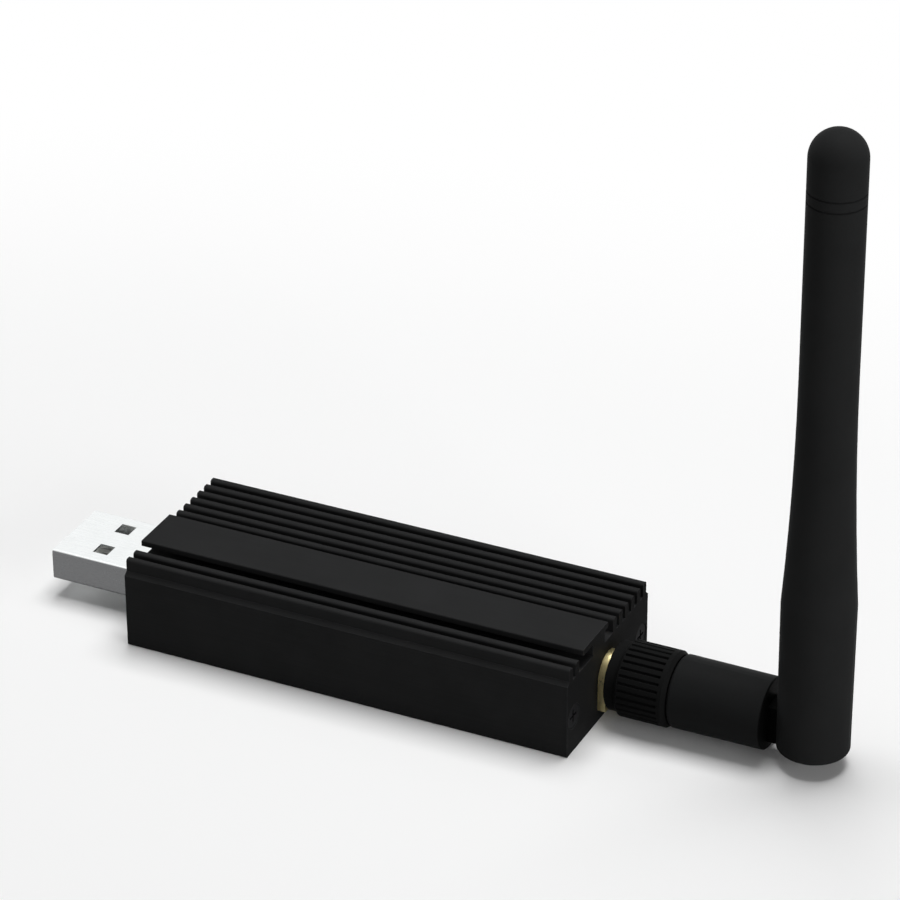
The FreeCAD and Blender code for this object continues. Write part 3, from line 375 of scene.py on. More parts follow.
@dataclass(frozen=True)
class Finish:
    """A surface finish, which makes one material.

    Attributes:
        name: name of the material.
        color: main colour.
        roughness: mean roughness.
        metallic: 1 for a metal and 0 for anything else.
        ior: index of refraction, which sets the shine of a surface that isn't metal.
        rough_spread: how far the roughness falls and how far it rises over the surface.
    """

    name: str
    color: Color
    roughness: float = 0.5
    metallic: float = 0.0
    ior: float = 1.45
    rough_spread: tuple[float, float] = (0.05, 0.08)

    @functools.cache
    def material(self) -> bpy.types.Material:
        """Makes the finish's material when it is first asked for.

        Returns:
            The material, the same one each time.
        """
        made = bpy.data.materials.new(self.name + "_finish")
        made.use_nodes = True
        made.node_tree.nodes.clear()
        graph = SurfaceGraph(made.node_tree)
        color, roughness, normal = self.layers(graph)
        sockets = {
            "Base Color": color,
            "Metallic": self.metallic,
            "Roughness": roughness,
            "IOR": self.ior,
            "Normal": normal,
        }
        shader = graph.node("ShaderNodeBsdfPrincipled", None, sockets)
        graph.node("ShaderNodeOutputMaterial", None, {"Surface": graph.out(shader)})
        return made

    def layers(self, graph: SurfaceGraph) -> Layers:
        """What varies over the surface.

        Args:
            graph: writer of the material's tree.

        Returns:
            Its colour, roughness and normal.
        """
        raise NotImplementedError

    def shade(self, factor: float) -> Color:
        """The main colour made lighter or darker."""
        return tuple(min(1.0, part * factor) for part in self.color)

    def uneven(self, pattern: Wire, low: float, high: float) -> Wire:
        """The roughness, made uneven by a pattern.

        Args:
            pattern: the pattern.
            low: its level where the surface is smoothest.
            high: its level where the surface is roughest.

        Returns:
            The uneven roughness.
        """
        fall, gain = self.rough_spread
        return pattern.rise(low, high, self.roughness - fall, self.roughness + gain)


@dataclass(frozen=True)
class Anodised(Finish):
    """Black anodised aluminium: blasted grain, faint drawn lines, edges rubbed a little lighter.

    Attributes:
        line_mm: length of the drawn lines and their distances.
        grain_mm: size of the blasted grain.
        cloud_mm: size of the clouds of tone.
        relief_mm: depth of the lines and the grain.
        edge_mm: how far from an edge the rubbing reaches.
        rub_mm: length and widths of a rubbed stretch.
        seam_mm: distance along X from the middle of the joints that close up without a line.
        rubbed: colour where the black is rubbed thin.
        painted_shade_end_share: brightness of the faces that look along X, darkened as painted
            shade against the light that falls on the ends.
    """

    rough_spread: tuple[float, float] = (0.05, 0.07)
    line_mm: Size = (14.0, 0.16, 0.16)
    grain_mm: float = 0.09
    cloud_mm: float = 6.0
    relief_mm: float = 0.0035
    edge_mm: float = 0.09
    rub_mm: Size = (1.4, 0.4, 0.4)
    seam_mm: float = 30.5
    rubbed: Color = (0.052, 0.053, 0.055)
    painted_shade_end_share: float = 0.6

    def layers(self, graph: SurfaceGraph) -> Layers:
        """What varies over the surface.

        Args:
            graph: writer of the material's tree.

        Returns:
            Its colour, roughness and normal.
        """
        lines = graph.noise(self.line_mm)
        grain = graph.noise(self.grain_mm, detail=1.0, shift=7.0)
        cloud = graph.noise(self.cloud_mm, detail=3.0, shift=3.0)
        tone = (lines * 0.3 + grain * 0.2 + cloud * 0.5).rise(0.3, 0.7)
        color = graph.mix(tone, self.shade(0.9), self.shade(1.1))
        # Painted shade: faces that look along X, the ends, are darkened against the light that
        # falls on them.
        shaded_ends = abs(graph.split(graph.normal)[0]).rise(0.9, 0.99)
        color = graph.mix(shaded_ends, color, self.shade(self.painted_shade_end_share))
        edge = graph.edges(self.edge_mm)[1]
        open_edge = abs(abs(graph.split(graph.place)[0]) - self.seam_mm).rise(0.1, 0.2)
        rubbing = graph.noise(self.rub_mm, detail=3.0, shift=11.0).rise(0.2, 0.65, 0.25, 1.0)
        color = graph.mix(edge * open_edge * rubbing, color, self.rubbed)
        roughness = self.uneven(lines * 0.5 + cloud * 0.5, 0.3, 0.7)
        relief = graph.bump(lines * 0.3 + grain * 0.7, self.relief_mm, strength=0.6)
        return color, roughness, relief


@dataclass(frozen=True)
class Moulded(Finish):
    """Injection-moulded plastic: spark-eroded grain, faint flow clouds and a parting line.

    Attributes:
        grain_mm: size of the grain.
        grain_depth_mm: depth of the grain.
        cloud_mm: size of the flow clouds.
        edge_mm: how far from an edge its small rounding reaches.
        parting: direction across the mould's parting plane, or None where it doesn't show.
        parting_mm: place of the parting plane along it.
        parting_width_mm: how far the line reaches to either side.
        parting_share: height of the line as a share of the grain's depth.
        painted_shade_from_mm: place along X beyond which the faces get painted shade, where the
            hinge's gap shades them, or None for none.
        painted_shade_fade_mm: length over which the painted shade comes in.
        painted_shade_share: brightness of the faces with painted shade.
    """

    grain_mm: float = 0.14
    grain_depth_mm: float = 0.005
    cloud_mm: float = 7.0
    edge_mm: float = 0.08
    parting: Axis | None = None
    parting_mm: float = 0.0
    parting_width_mm: float = 0.05
    parting_share: float = 1.2
    painted_shade_from_mm: float | None = None
    painted_shade_fade_mm: float = 0.2
    painted_shade_share: float = 0.2

    def layers(self, graph: SurfaceGraph) -> Layers:
        """What varies over the surface.

        Args:
            graph: writer of the material's tree.

        Returns:
            Its colour, roughness and normal.
        """
        grain = graph.cells(self.grain_mm)
        fine = graph.noise(self.grain_mm / 2, shift=5.0)
        cloud = graph.noise(self.cloud_mm, detail=3.0, shift=9.0)
        tone = (cloud * 0.6 + fine * 0.4).rise(0.3, 0.7)
        color = graph.mix(tone, self.shade(0.92), self.shade(1.08))
        # Painted shade: the faces beyond a place along X, in the hinge's gap, are darkened as if in
        # shadow.
        if self.painted_shade_from_mm is not None:
            along = graph.split(graph.place)[0]
            hinge_shade = along.rise(self.painted_shade_from_mm, self.painted_shade_from_mm + self.painted_shade_fade_mm)
            color = graph.mix(hinge_shade, color, self.shade(self.painted_shade_share))
        height = grain * 0.6 + fine * 0.4
        if self.parting is not None:
            across = graph.split(graph.place)[self.parting.value]
            line = across.near(self.parting_mm, self.parting_width_mm)
            height = height + line * self.parting_share
        roughness = self.uneven(cloud * 0.6 + grain * 0.4, 0.25, 0.75)
        rounded = graph.edges(self.edge_mm)[0]
        return color, roughness, graph.bump(height, self.grain_depth_mm, 0.7, rounded)


@dataclass(frozen=True)
class Plated(Finish):
    """Plated or bare metal: rubbing scratches along one way, faint tarnish clouds.

    Attributes:
        scratch: length of the scratches along each axis, in millimetres.
        scratch_depth_mm: depth of the scratches.
        tarnish: colour of the dull clouds.
        tarnish_share: how much of that colour shows at most.
        cloud_mm: size of the clouds.
        spot_mm: size of the small dark spots.
        spot_share: how dark the spots are at most.
    """

    metallic: float = 1.0
    rough_spread: tuple[float, float] = (0.05, 0.09)
    scratch: Size = (4.0, 0.06, 0.06)
    scratch_depth_mm: float = 0.002
    tarnish: Color = (0.55, 0.55, 0.55)
    tarnish_share: float = 0.25
    cloud_mm: float = 1.8
    spot_mm: float = 0.35
    spot_share: float = 0.12

    def layers(self, graph: SurfaceGraph) -> Layers:
        """What varies over the surface.

        Args:
            graph: writer of the material's tree.

        Returns:
            Its colour, roughness and normal.
        """
        scratches = graph.noise(self.scratch)
        cloud = graph.noise(self.cloud_mm, detail=4.0, shift=4.0)
        spots = graph.noise(self.spot_mm, shift=13.0).rise(0.62, 0.8)
        dull = cloud.rise(0.45, 0.8, 0.0, self.tarnish_share)
        color = graph.mix(dull, self.color, self.tarnish)
        color = graph.mix(spots * self.spot_share, color, self.shade(0.6))
        roughness = self.uneven(scratches * 0.6 + cloud * 0.4, 0.3, 0.75)
        relief = graph.bump(scratches, self.scratch_depth_mm, strength=0.6)
        return self.zoned(graph, color), roughness, relief

    def zoned(self, graph: SurfaceGraph, color: Wire) -> Wire:
        """The colour after what only some zones of the piece have; here there are none.

        Args:
            graph: writer of the material's tree.
            color: colour of the plating.

        Returns:
            The colour by zone.
        """
        return color


@dataclass(frozen=True)
class FoldedShell(Plated):
    """Plug shell folded from plated sheet: painted shade on its side walls and a closed seam below.

    Attributes:
        side_mm: distance from the middle at which the painted shade on the sides is full.
        bend_mm: width over which that painted shade comes in at a bend.
        painted_shade_side_color: grey painted on the side walls as shade, in place of the bright
            floor they would reflect.
        seam_below_mm: height under which the seam lies.
        seam_mm: how far the seam reaches to either side, and over what height it fades.
        seam_color: colour of the gap.
        seam_share: how much of that colour shows.
    """

    side_mm: float = 5.96
    bend_mm: float = 0.14
    painted_shade_side_color: Color = (0.165, 0.167, 0.17)
    seam_below_mm: float = 2.8
    seam_mm: float = 0.05
    seam_color: Color = (0.03, 0.03, 0.03)
    seam_share: float = 0.9

    def zoned(self, graph: SurfaceGraph, color: Wire) -> Wire:
        """The colour with painted shade on the sides and the dark seam.

        Args:
            graph: writer of the material's tree.
            color: colour of the plating.

        Returns:
            The colour by zone.
        """
        _, across, height = graph.split(graph.place)
        # Painted shade: the side walls get a dull grey in place of the light they would reflect.
        side = abs(across).rise(self.side_mm - self.bend_mm, self.side_mm)
        below = height.rise(self.seam_below_mm, self.seam_below_mm - self.seam_mm)
        seam = across.near(0.0, self.seam_mm) * below * self.seam_share
        return graph.mix(seam, graph.mix(side, color, self.painted_shade_side_color), self.seam_color)


@dataclass(frozen=True)
class ContactStrip(Plated):
    """Contact strip with gold on the stretch that touches, and dull tin behind it.

    Attributes:
        gold_to_mm: place along X where the gold ends.
        fade_mm: how far the change reaches to either side of it.
        behind: colour of the tin.
    """

    gold_to_mm: float = -44.4
    fade_mm: float = 0.1
    behind: Color = (0.42, 0.41, 0.4)

    def zoned(self, graph: SurfaceGraph, color: Wire) -> Wire:
        """The colour with tin behind the gold.

        Args:
            graph: writer of the material's tree.
            color: colour of the gold.

        Returns:
            The colour by zone.
        """
        along = graph.split(graph.place)[0]
        tinned = along.rise(self.gold_to_mm - self.fade_mm, self.gold_to_mm + self.fade_mm)
        return graph.mix(tinned, color, self.behind)


@dataclass(frozen=True)
class ThreadedBrass(Plated):
    """Brass with painted shade at the foot of its thread's ridges.

    Attributes:
        axis_mm: height of the thread's axis.
        foot_mm: distance from the axis to the foot of the ridges.
        crest_mm: distance from the axis to their crests.
        from_mm: place along X where the ridges start.
        to_mm: place where they end.
        fade_mm: length over which the dark feet fade at both ends.
        painted_foot_shade_color: colour painted at the foot as shade.
        painted_foot_shade_share: how much of that painted shade shows.
    """

    axis_mm: float = 5.7
    foot_mm: float = 3.0
    crest_mm: float = 3.14
    from_mm: float = 34.1
    to_mm: float = 39.3
    fade_mm: float = 0.2
    painted_foot_shade_color: Color = (0.26, 0.18, 0.06)
    painted_foot_shade_share: float = 0.85

    def zoned(self, graph: SurfaceGraph, color: Wire) -> Wire:
        """The colour with painted shade at the feet of the ridges.

        Args:
            graph: writer of the material's tree.
            color: colour of the brass.

        Returns:
            The colour by zone.
        """
        along, side, height = graph.split(graph.place)
        above = height - self.axis_mm
        distance = graph.math("SQRT", side * side + above * above)
        # Painted shade: the roots of the thread are darkened as if shaded.
        root_shade = distance.rise(self.crest_mm, self.foot_mm)
        started = along.rise(self.from_mm, self.from_mm + self.fade_mm)
        threaded = started * along.rise(self.to_mm, self.to_mm - self.fade_mm)
        return graph.mix(root_shade * threaded * self.painted_foot_shade_share, color, self.painted_foot_shade_color)


@dataclass(frozen=True)
class Laminate(Finish):
    """Circuit board: solder mask over copper tracks, with bare glass fibre at its edge.

    Attributes:
        copper: colour of the mask where copper lies under it.
        edge: colour of the cut edge.
        edge_roughness: roughness of the cut edge.
        top_mm: height of the board's upper face.
        bottom_mm: height of its lower face.
        track_mm: sizes of the pattern that gives the tracks.
        cross_mm: sizes of the pattern that gives the tracks across them.
        pour_mm: sizes of the areas filled with copper.
        weave_mm: sizes of the glass threads at the edge.
        relief_mm: height of the mask over copper.
    """

    copper: Color = (0.02, 0.16, 0.08)
    edge: Color = (0.42, 0.36, 0.2)
    edge_roughness: float = 0.75
    top_mm: float = 5.32
    bottom_mm: float = 3.72
    track_mm: Size = (1.6, 0.5, 9.0)
    cross_mm: Size = (0.5, 1.4, 9.0)
    pour_mm: Size = (6.0, 4.0, 9.0)
    weave_mm: Size = (0.3, 0.3, 0.12)
    relief_mm: float = 0.03

    def layers(self, graph: SurfaceGraph) -> Layers:
        """What varies over the surface.

        Args:
            graph: writer of the material's tree.

        Returns:
            Its colour, roughness and normal.
        """
        tracks = graph.noise(self.track_mm, detail=0.0).near(0.5, 0.035)
        cross = graph.noise(self.cross_mm, detail=0.0, shift=8.0).near(0.5, 0.03)
        pour = graph.noise(self.pour_mm, detail=0.0, shift=2.0).rise(0.54, 0.56)
        copper = tracks.at_least(cross).at_least(pour)
        mask = graph.mix(copper, self.color, self.copper)
        middle = (self.top_mm + self.bottom_mm) / 2
        cut = graph.split(graph.place)[2].near(middle, self.top_mm - middle).rise(0.0, 0.05)
        weave = graph.noise(self.weave_mm, detail=1.0).rise(0.35, 0.65)
        edge = graph.mix(weave, self.edge, tuple(part * 0.7 for part in self.edge))
        roughness = cut.rise(0.0, 1.0, self.roughness, self.edge_roughness)
        return graph.mix(cut, mask, edge), roughness, graph.bump(copper, self.relief_mm, 0.8)


ALUMINIUM = Anodised("anodised_black", (0.0226, 0.0229, 0.0233), roughness=0.5, ior=1.04)
SCREW_STEEL = Plated(
    "blackened_steel", (0.018, 0.018, 0.019), roughness=0.4, metallic=0.0, ior=1.06,
    tarnish=(0.012, 0.012, 0.012), scratch=(0.2, 0.05, 0.05),
)
NICKEL = FoldedShell(
    "bright_nickel", (0.84, 0.86, 0.86), roughness=0.26, tarnish=(0.74, 0.76, 0.76)
)
BRASS = ThreadedBrass(
    "bright_brass", (0.93, 0.8, 0.42), roughness=0.32, tarnish=(0.82, 0.68, 0.32),
    scratch=(0.07, 0.5, 0.5), scratch_depth_mm=0.001,
)
CONTACT_GOLD = ContactStrip(
    "contact_gold", (0.94, 0.7, 0.28), roughness=0.22, tarnish=(0.8, 0.56, 0.22)
)
PIN_GOLD = Plated("pin_gold", (0.94, 0.7, 0.28), roughness=0.22, tarnish=(0.8, 0.56, 0.22))
BRONZE = Plated("spring_bronze", (0.55, 0.34, 0.19), roughness=0.35, tarnish=(0.35, 0.2, 0.12))
TIN = Plated(
    "tinned_sheet", (0.72, 0.72, 0.7), roughness=0.38,
    tarnish=(0.5, 0.5, 0.49), scratch=(3.0, 0.05, 0.05),
)
WHIP_PLASTIC = Moulded("whip_plastic", (0.0222, 0.0227, 0.0229), roughness=0.5, ior=1.04)
NUT_PLASTIC = Moulded("nut_plastic", (0.0094, 0.0096, 0.0096), roughness=0.5, ior=1.05)
# The barrel's hinge end, beyond 54.72 mm along X, gets painted shade.
BARREL_PLASTIC = Moulded(
    "barrel_plastic", (0.0148, 0.0153, 0.0155), roughness=0.46, ior=1.06,
    parting=Axis.Z, parting_mm=5.7, painted_shade_from_mm=54.72,
)
WHITE_PLASTIC = Moulded("plug_plastic", (0.8, 0.8, 0.79), roughness=0.5, grain_depth_mm=0.003)
CORE_PLASTIC = Moulded("core_plastic", (0.82, 0.82, 0.8), roughness=0.5, grain_depth_mm=0.003)
CHIP_PLASTIC = Moulded("chip_plastic", (0.022, 0.022, 0.023), roughness=0.6, grain_mm=0.08)
SWITCH_PLASTIC = Moulded("switch_plastic", (0.03, 0.03, 0.032), roughness=0.5)
BUTTON_PLASTIC = Moulded("button_plastic", (0.75, 0.75, 0.73), roughness=0.4)
CERAMIC = Moulded("ceramic", (0.46, 0.34, 0.2), roughness=0.55, grain_mm=0.06, grain_depth_mm=0.003)
LENS = Moulded("light_lens", (0.75, 0.8, 0.5), roughness=0.18, grain_depth_mm=0.001)
CABLE_JACKET = Moulded("cable_jacket", (0.33, 0.15, 0.07), roughness=0.3, grain_depth_mm=0.002)
WIRE_JACKET = Moulded("wire_jacket", (0.82, 0.82, 0.8), roughness=0.35, grain_depth_mm=0.002)
RUBBER = Moulded("gasket_rubber", (0.24, 0.05, 0.03), roughness=0.7)
BOARD = Laminate("board_mask", (0.01, 0.07, 0.035), roughness=0.3)


def axis_of(node: str) -> float:
    """Height of the axis of a node that is round about a line along X."""
    low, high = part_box(node)
    return (low.z + high.z) / 2


class SubAssembly:
    """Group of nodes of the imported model.

    Attributes:
        finishes: the nodes that get each finish.
    """

    finishes: ClassVar[dict[Finish, tuple[str, ...]]]

    def build(self) -> None:
        """Gives each node its finish."""
        for finish, nodes in self.finishes.items():
            for node in nodes:
                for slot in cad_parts[node].material_slots:
                    slot.material = finish.material()
                LOG.info("%s: %s", node, finish.name)


def with_wall_points(corners: list[Corner], wall: float, longest: float) -> list[Corner]:
    """Outline with extra points along the runs that lie on one wall.

    Args:
        corners: the outline's (x, radius) corners in order, closed.
        wall: radius of the wall.
        longest: largest distance of two points on it.

    Returns:
        The corners with the extra points between them.
    """
    made = []
    for start, end in zip(corners, corners[1:] + corners[:1]):
        on_wall = start[1] == wall and end[1] == wall
        pieces = max(1, math.ceil(abs(end[0] - start[0]) / longest)) if on_wall else 1
        for step in range(pieces):
            made.append((start[0] + (end[0] - start[0]) * step / pieces, start[1]))
    return made


def make_object(name: str, mesh: bpy.types.Mesh, finish: Finish) -> bpy.types.Object:
    """Puts a mesh into the scene.

    Args:
        name: name of the new object.
        mesh: its mesh, already in place.
        finish: the finish of all its faces.

    Returns:
        The new object.
    """
    mesh.materials.clear()
    mesh.materials.append(finish.material())
    made = bpy.data.objects.new(name, mesh)
    bpy.context.scene.collection.objects.link(made)
    return made


def turned(
    name: str, points: list[Corner], axis_height: float, segments: int, finish: Finish
) -> bpy.types.Object:
    """Ring of revolution about an axis along X.

    Args:
        name: name of the new object.
        points: the section as (x, radius) points, closed, none of them on the axis.
        axis_height: height of the axis.
        segments: number of faces round the axis.
        finish: the finish of all its faces.

    Returns:
        The new object, its faces pointing outwards.
    """
    shape = bmesh.new()
    rings = []
    for segment in range(segments):
        angle = math.tau * segment / segments
        around = Vector((0, math.cos(angle), math.sin(angle)))
        places = [Vector((x, 0, axis_height)) + around * radius for x, radius in points]
        rings.append([shape.verts.new(place) for place in places])
    for ring, following in zip(rings, rings[1:] + rings[:1]):
        for index in range(len(points)):
            after = (index + 1) % len(points)
            shape.faces.new((ring[index], ring[after], following[after], following[index]))
    bmesh.ops.recalc_face_normals(shape, faces=shape.faces)
    mesh = bpy.data.meshes.new(name)
    shape.to_mesh(mesh)
    shape.free()
    mesh.shade_smooth()
    return make_object(name, mesh, finish)


def grow(piece: bpy.types.Object, tree: bpy.types.NodeTree, values: dict[str, float]) -> None:
    """Runs a geometry tree on a piece and keeps the result as its plain mesh.

    Args:
        piece: the piece whose mesh goes into the tree.
        tree: the geometry tree.
        values: the tree's inputs by name.
    """
    modifier = piece.modifiers.new("rule", "NODES")
    modifier.node_group = tree
    for item in tree.interface.items_tree:
        if item.in_out == "INPUT" and item.name in values:
            modifier[item.identifier] = values[item.name]
    evaluated = piece.evaluated_get(bpy.context.evaluated_depsgraph_get())
    result = bpy.data.meshes.new_from_object(evaluated)
    result.name = piece.name
    piece.modifiers.clear()
    piece.data = result


class GeometryGraph(Graph):
    """Writes a geometry tree that reads one geometry and some numbers."""

    def __init__(self, name: str, inputs: list[str], finish: Finish) -> None:
        """Makes the tree with its inputs.

        Args:
            name: name of the tree.
            inputs: names of its number inputs.
            finish: finish that the result gets.
        """
        super().__init__(bpy.data.node_groups.new(name, "GeometryNodeTree"))
        self.finish = finish
        add = self.tree.interface.new_socket
        add("Geometry", in_out="INPUT", socket_type="NodeSocketGeometry")
        add("Geometry", in_out="OUTPUT", socket_type="NodeSocketGeometry")
        for label in inputs:
            add(label, in_out="INPUT", socket_type="NodeSocketFloat")
        self.inputs = self.node("NodeGroupInput")

    def value(self, name: str) -> Wire:
        """Wire of one of the tree's inputs."""
        return self.out(self.inputs, name)

    def close(self, geometry: bpy.types.Node) -> None:
        """Makes a geometry real, paints it and ends the tree with it.

        Args:
            geometry: node whose first output is the geometry.
        """
        whole = self.node("GeometryNodeRealizeInstances", None, {0: self.out(geometry)})
        sockets = {"Geometry": self.out(whole), "Material": self.finish.material()}
        painted = self.node("GeometryNodeSetMaterial", None, sockets)
        self.node("NodeGroupOutput", None, {0: self.out(painted)})


def thread_tree(finish: Finish) -> bpy.types.NodeTree:
    """Tree that cuts a right-handed screw thread into a wall that is round about a line along X.

    Args:
        finish: the finish of the result.

    Returns:
        The tree. Its inputs are the axis height, the wall's radius, and the thread's pitch, height,
        start, end and run-out.
    """
    inputs = ["Axis Height", "Wall Radius", "Pitch", "Height", "Start", "End", "Run Out"]
    rule = GeometryGraph("screw_thread", inputs, finish)
    along, side, height = rule.split(rule.out(rule.node("GeometryNodeInputPosition")))
    above = height - rule.value("Axis Height")
    angle = rule.math("ARCTAN2", above, side)
    distance = rule.math("SQRT", side * side + above * above)
    turns = along / rule.value("Pitch") - angle / math.tau
    wave = rule.math("PINGPONG", turns, 0.5) * 2.0
    crest = rule.math("SMOOTH_MIN", wave * THREAD_FLANK, 1.0, CREST_ROUNDING)
    inside = (along - rule.value("Start")) / rule.value("Run Out")
    outside = (rule.value("End") - along) / rule.value("Run Out")
    share = inside.at_most(outside).at_most(1.0).at_least(0.0)
    radius = distance + crest * share * rule.value("Height")
    new_side = radius * rule.math("COSINE", angle)
    new_height = radius * rule.math("SINE", angle) + rule.value("Axis Height")
    target = rule.node("ShaderNodeCombineXYZ", None, {0: along, 1: new_side, 2: new_height})
    wall = rule.math("COMPARE", distance, rule.value("Wall Radius"), WALL_TOLERANCE)
    sockets = {"Geometry": rule.value("Geometry"), "Selection": wall, "Position": rule.out(target)}
    rule.close(rule.node("GeometryNodeSetPosition", None, sockets))
    return rule.tree


def block_tree(finish: Finish) -> bpy.types.NodeTree:
    """Tree that puts a block on each point, as large as the point's "size" attribute says.

    Args:
        finish: the finish of the blocks.

    Returns:
        The tree, whose input is a factor on the sizes.
    """
    rule = GeometryGraph("blocks_on_points", ["Size Factor"], finish)
    block = rule.node("GeometryNodeMeshCube", None, {"Size": (1.0, 1.0, 1.0)})
    settings = {"data_type": "FLOAT_VECTOR"}
    size = rule.node("GeometryNodeInputNamedAttribute", settings, {"Name": "size"})
    scale = rule.vector_math("MULTIPLY", rule.out(size), rule.value("Size Factor"))
    sockets = {"Points": rule.value("Geometry"), "Instance": rule.out(block), "Scale": scale}
    rule.close(rule.node("GeometryNodeInstanceOnPoints", None, sockets))
    return rule.tree


def make_blocks(name: str, blocks: list[Block], finish: Finish) -> bpy.types.Object:
    """Makes one piece of many small blocks.

    Args:
        name: name of the new piece.
        blocks: middle and size of each block.
        finish: the finish of the blocks.

    Returns:
        The new piece.
    """
    mesh = bpy.data.meshes.new(name)
    mesh.from_pydata([centre for centre, _ in blocks], [], [])
    sizes = mesh.attributes.new("size", "FLOAT_VECTOR", "POINT")
    for entry, (_, size) in zip(sizes.data, blocks):
        entry.vector = size
    piece = make_object(name, mesh, finish)
    grow(piece, block_tree(finish), {"Size Factor": 1.0})
    LOG.info("%s: %d blocks", name, len(blocks))
    return piece


def islands(node: str) -> list[tuple[Vector, Vector]]:
    """Lowest and highest corner of each separate solid of a node.

    Args:
        node: the node's name.

    Returns:
        The corners, sorted by place.
    """
    shape = bmesh.new()
    shape.from_mesh(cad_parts[node].data)
    bmesh.ops.remove_doubles(shape, verts=shape.verts, dist=MERGE_DISTANCE)
    waiting = set(shape.verts)
    found = []
    while waiting:
        group = [waiting.pop()]
        for vertex in group:
            for edge in vertex.link_edges:
                other = edge.other_vert(vertex)
                if other in waiting:
                    waiting.remove(other)
                    group.append(other)
        low = Vector([min(vertex.co[axis] for vertex in group) for axis in range(3)])
        high = Vector([max(vertex.co[axis] for vertex in group) for axis in range(3)])
        found.append((low, high))
    shape.free()
    return sorted(found, key=lambda corners: tuple(corners[0]))


@dataclass
class HousingAssembly(SubAssembly):
    """Finned housing, its end plates and their screws."""

    finishes = {
        ALUMINIUM: ("housing", "usb_end_plate", "antenna_end_plate"),
        SCREW_STEEL: ("usb_end_screws", "antenna_end_screws"),
    }


@dataclass
class UsbPlug(SubAssembly):
    """Plug shell with its tongue and contacts."""

    finishes = {
        NICKEL: ("usb_shell",),
        WHITE_PLASTIC: ("usb_insulator",),
        CONTACT_GOLD: ("usb_contacts",),
    }


@dataclass(frozen=True)
class Pads:
    """Row of solder pads along each of the four sides of a chip.

    Attributes:
        chip: the chip's node.
        count: pads a side.
        pitch: distance of two pads.
        width: width of a pad along the chip's edge.
        reach: its length across the chip's edge, half of it outside.
        height: its height above the board.
    """

    chip: str
    count: int
    pitch: float = 0.5 * MM
    width: float = 0.24 * MM
    reach: float = 0.3 * MM
    height: float = 0.2 * MM

    def blocks(self) -> list[Block]:
        """Places the pads.

        Returns:
            Middle and size of each pad.
        """
        low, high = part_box(self.chip)
        middle = (low + high) / 2
        level = low.z + self.height / 2
        along_x = Vector((self.reach, self.width, self.height))
        along_y = Vector((self.width, self.reach, self.height))
        made = []
        for index in range(self.count):
            offset = (index - (self.count - 1) / 2) * self.pitch
            for edge in (low.x, high.x):
                made.append((Vector((edge, middle.y + offset, level)), along_x))
            for edge in (low.y, high.y):
                made.append((Vector((middle.x + offset, edge, level)), along_y))
        return made


@dataclass
class CircuitBoard(SubAssembly):
    """Board with its chips, switches and small parts.

    Attributes:
        end_share: share of a small part's length that each of its metal ends covers.
        end_proud: how far the metal stands out from the part.
    """

    finishes = {
        BOARD: ("circuit_board",),
        CHIP_PLASTIC: ("usb_bridge_chip", "voltage_regulator", "radio_chip"),
        TIN: ("clock_crystal", "radio_crystal", "shield_can"),
        SWITCH_PLASTIC: ("boot_switch", "reset_switch"),
        BUTTON_PLASTIC: ("boot_plunger", "reset_plunger"),
        CERAMIC: ("capacitors", "filter_parts"),
        LENS: ("status_lights",),
    }
    end_share: float = 0.22
    end_proud: float = 0.015 * MM

    def build(self) -> None:
        """Dresses the board's nodes and adds pads and metal ends."""
        super().build()
        for pads in (Pads("usb_bridge_chip", count=7), Pads("radio_chip", count=12)):
            self.add(pads.chip + "_pads", pads.blocks())
        for node in ("capacitors", "filter_parts"):
            self.add(node + "_ends", self.ends(node))

    def ends(self, node: str) -> list[Block]:
        """Middle and size of the two metal ends of each solid of a node.

        Args:
            node: node of small parts that lie along X or Y.

        Returns:
            The blocks that cover the ends.
        """
        made = []
        for low, high in islands(node):
            size = high - low
            axis = 0 if size.x > size.y else 1
            block = size + Vector((2 * self.end_proud,) * 3)
            block[axis] = size[axis] * self.end_share
            for side in (-1, 1):
                middle = (low + high) / 2
                middle[axis] += side * ((size[axis] - block[axis]) / 2 + self.end_proud)
                made.append((middle, block))
        return made

    def add(self, name: str, blocks: list[Block]) -> None:
        """Adds a piece of tinned blocks that rides on the stick.

        Args:
            name: name of the new piece.
            blocks: middle and size of each block.
        """
        piece = make_blocks(name, blocks, TIN)
        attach(piece, "stick")


@dataclass
class ScrewThread:
    """Thread that the jack and the coupling nut share.

    Attributes:
        pitch: distance of two turns along the axis.
        height: height of the ridges.
        run_out: length over which the thread fades at its ends.
        samples: rings of points in each turn.
        segments: faces round the axis.
        sharp_angle: angle in degrees from which an edge shows as sharp.
    """

    pitch: float = 25.4 / 36 * MM
    height: float = 0.17 * MM
    run_out: float = 0.35 * MM
    samples: int = 8
    segments: int = 96
    sharp_angle: float = 70.0

    def cut(
        self, name: str, corners: list[Corner], axis_height: float, start: float, end: float
    ) -> bpy.types.Object:
        """Turns a brass ring and cuts the thread into one of its walls.

        Args:
            name: name of the new piece.
            corners: outline as (x, radius) corners; the thread goes into the wall of the first one.
            axis_height: height of the axis.
            start: place along X where the thread starts.
            end: place where it ends.

        Returns:
            The new piece.
        """
        wall = corners[0][1]
        points = with_wall_points(corners, wall, self.pitch / self.samples)
        ring = turned(name, points, axis_height, self.segments, BRASS)
        values = {
            "Axis Height": axis_height,
            "Wall Radius": wall,
            "Pitch": self.pitch,
            "Height": self.height,
            "Start": start,
            "End": end,
            "Run Out": self.run_out,
        }
        grow(ring, thread_tree(BRASS), values)
        ring.data.set_sharp_from_angle(angle=math.radians(self.sharp_angle))
        return ring


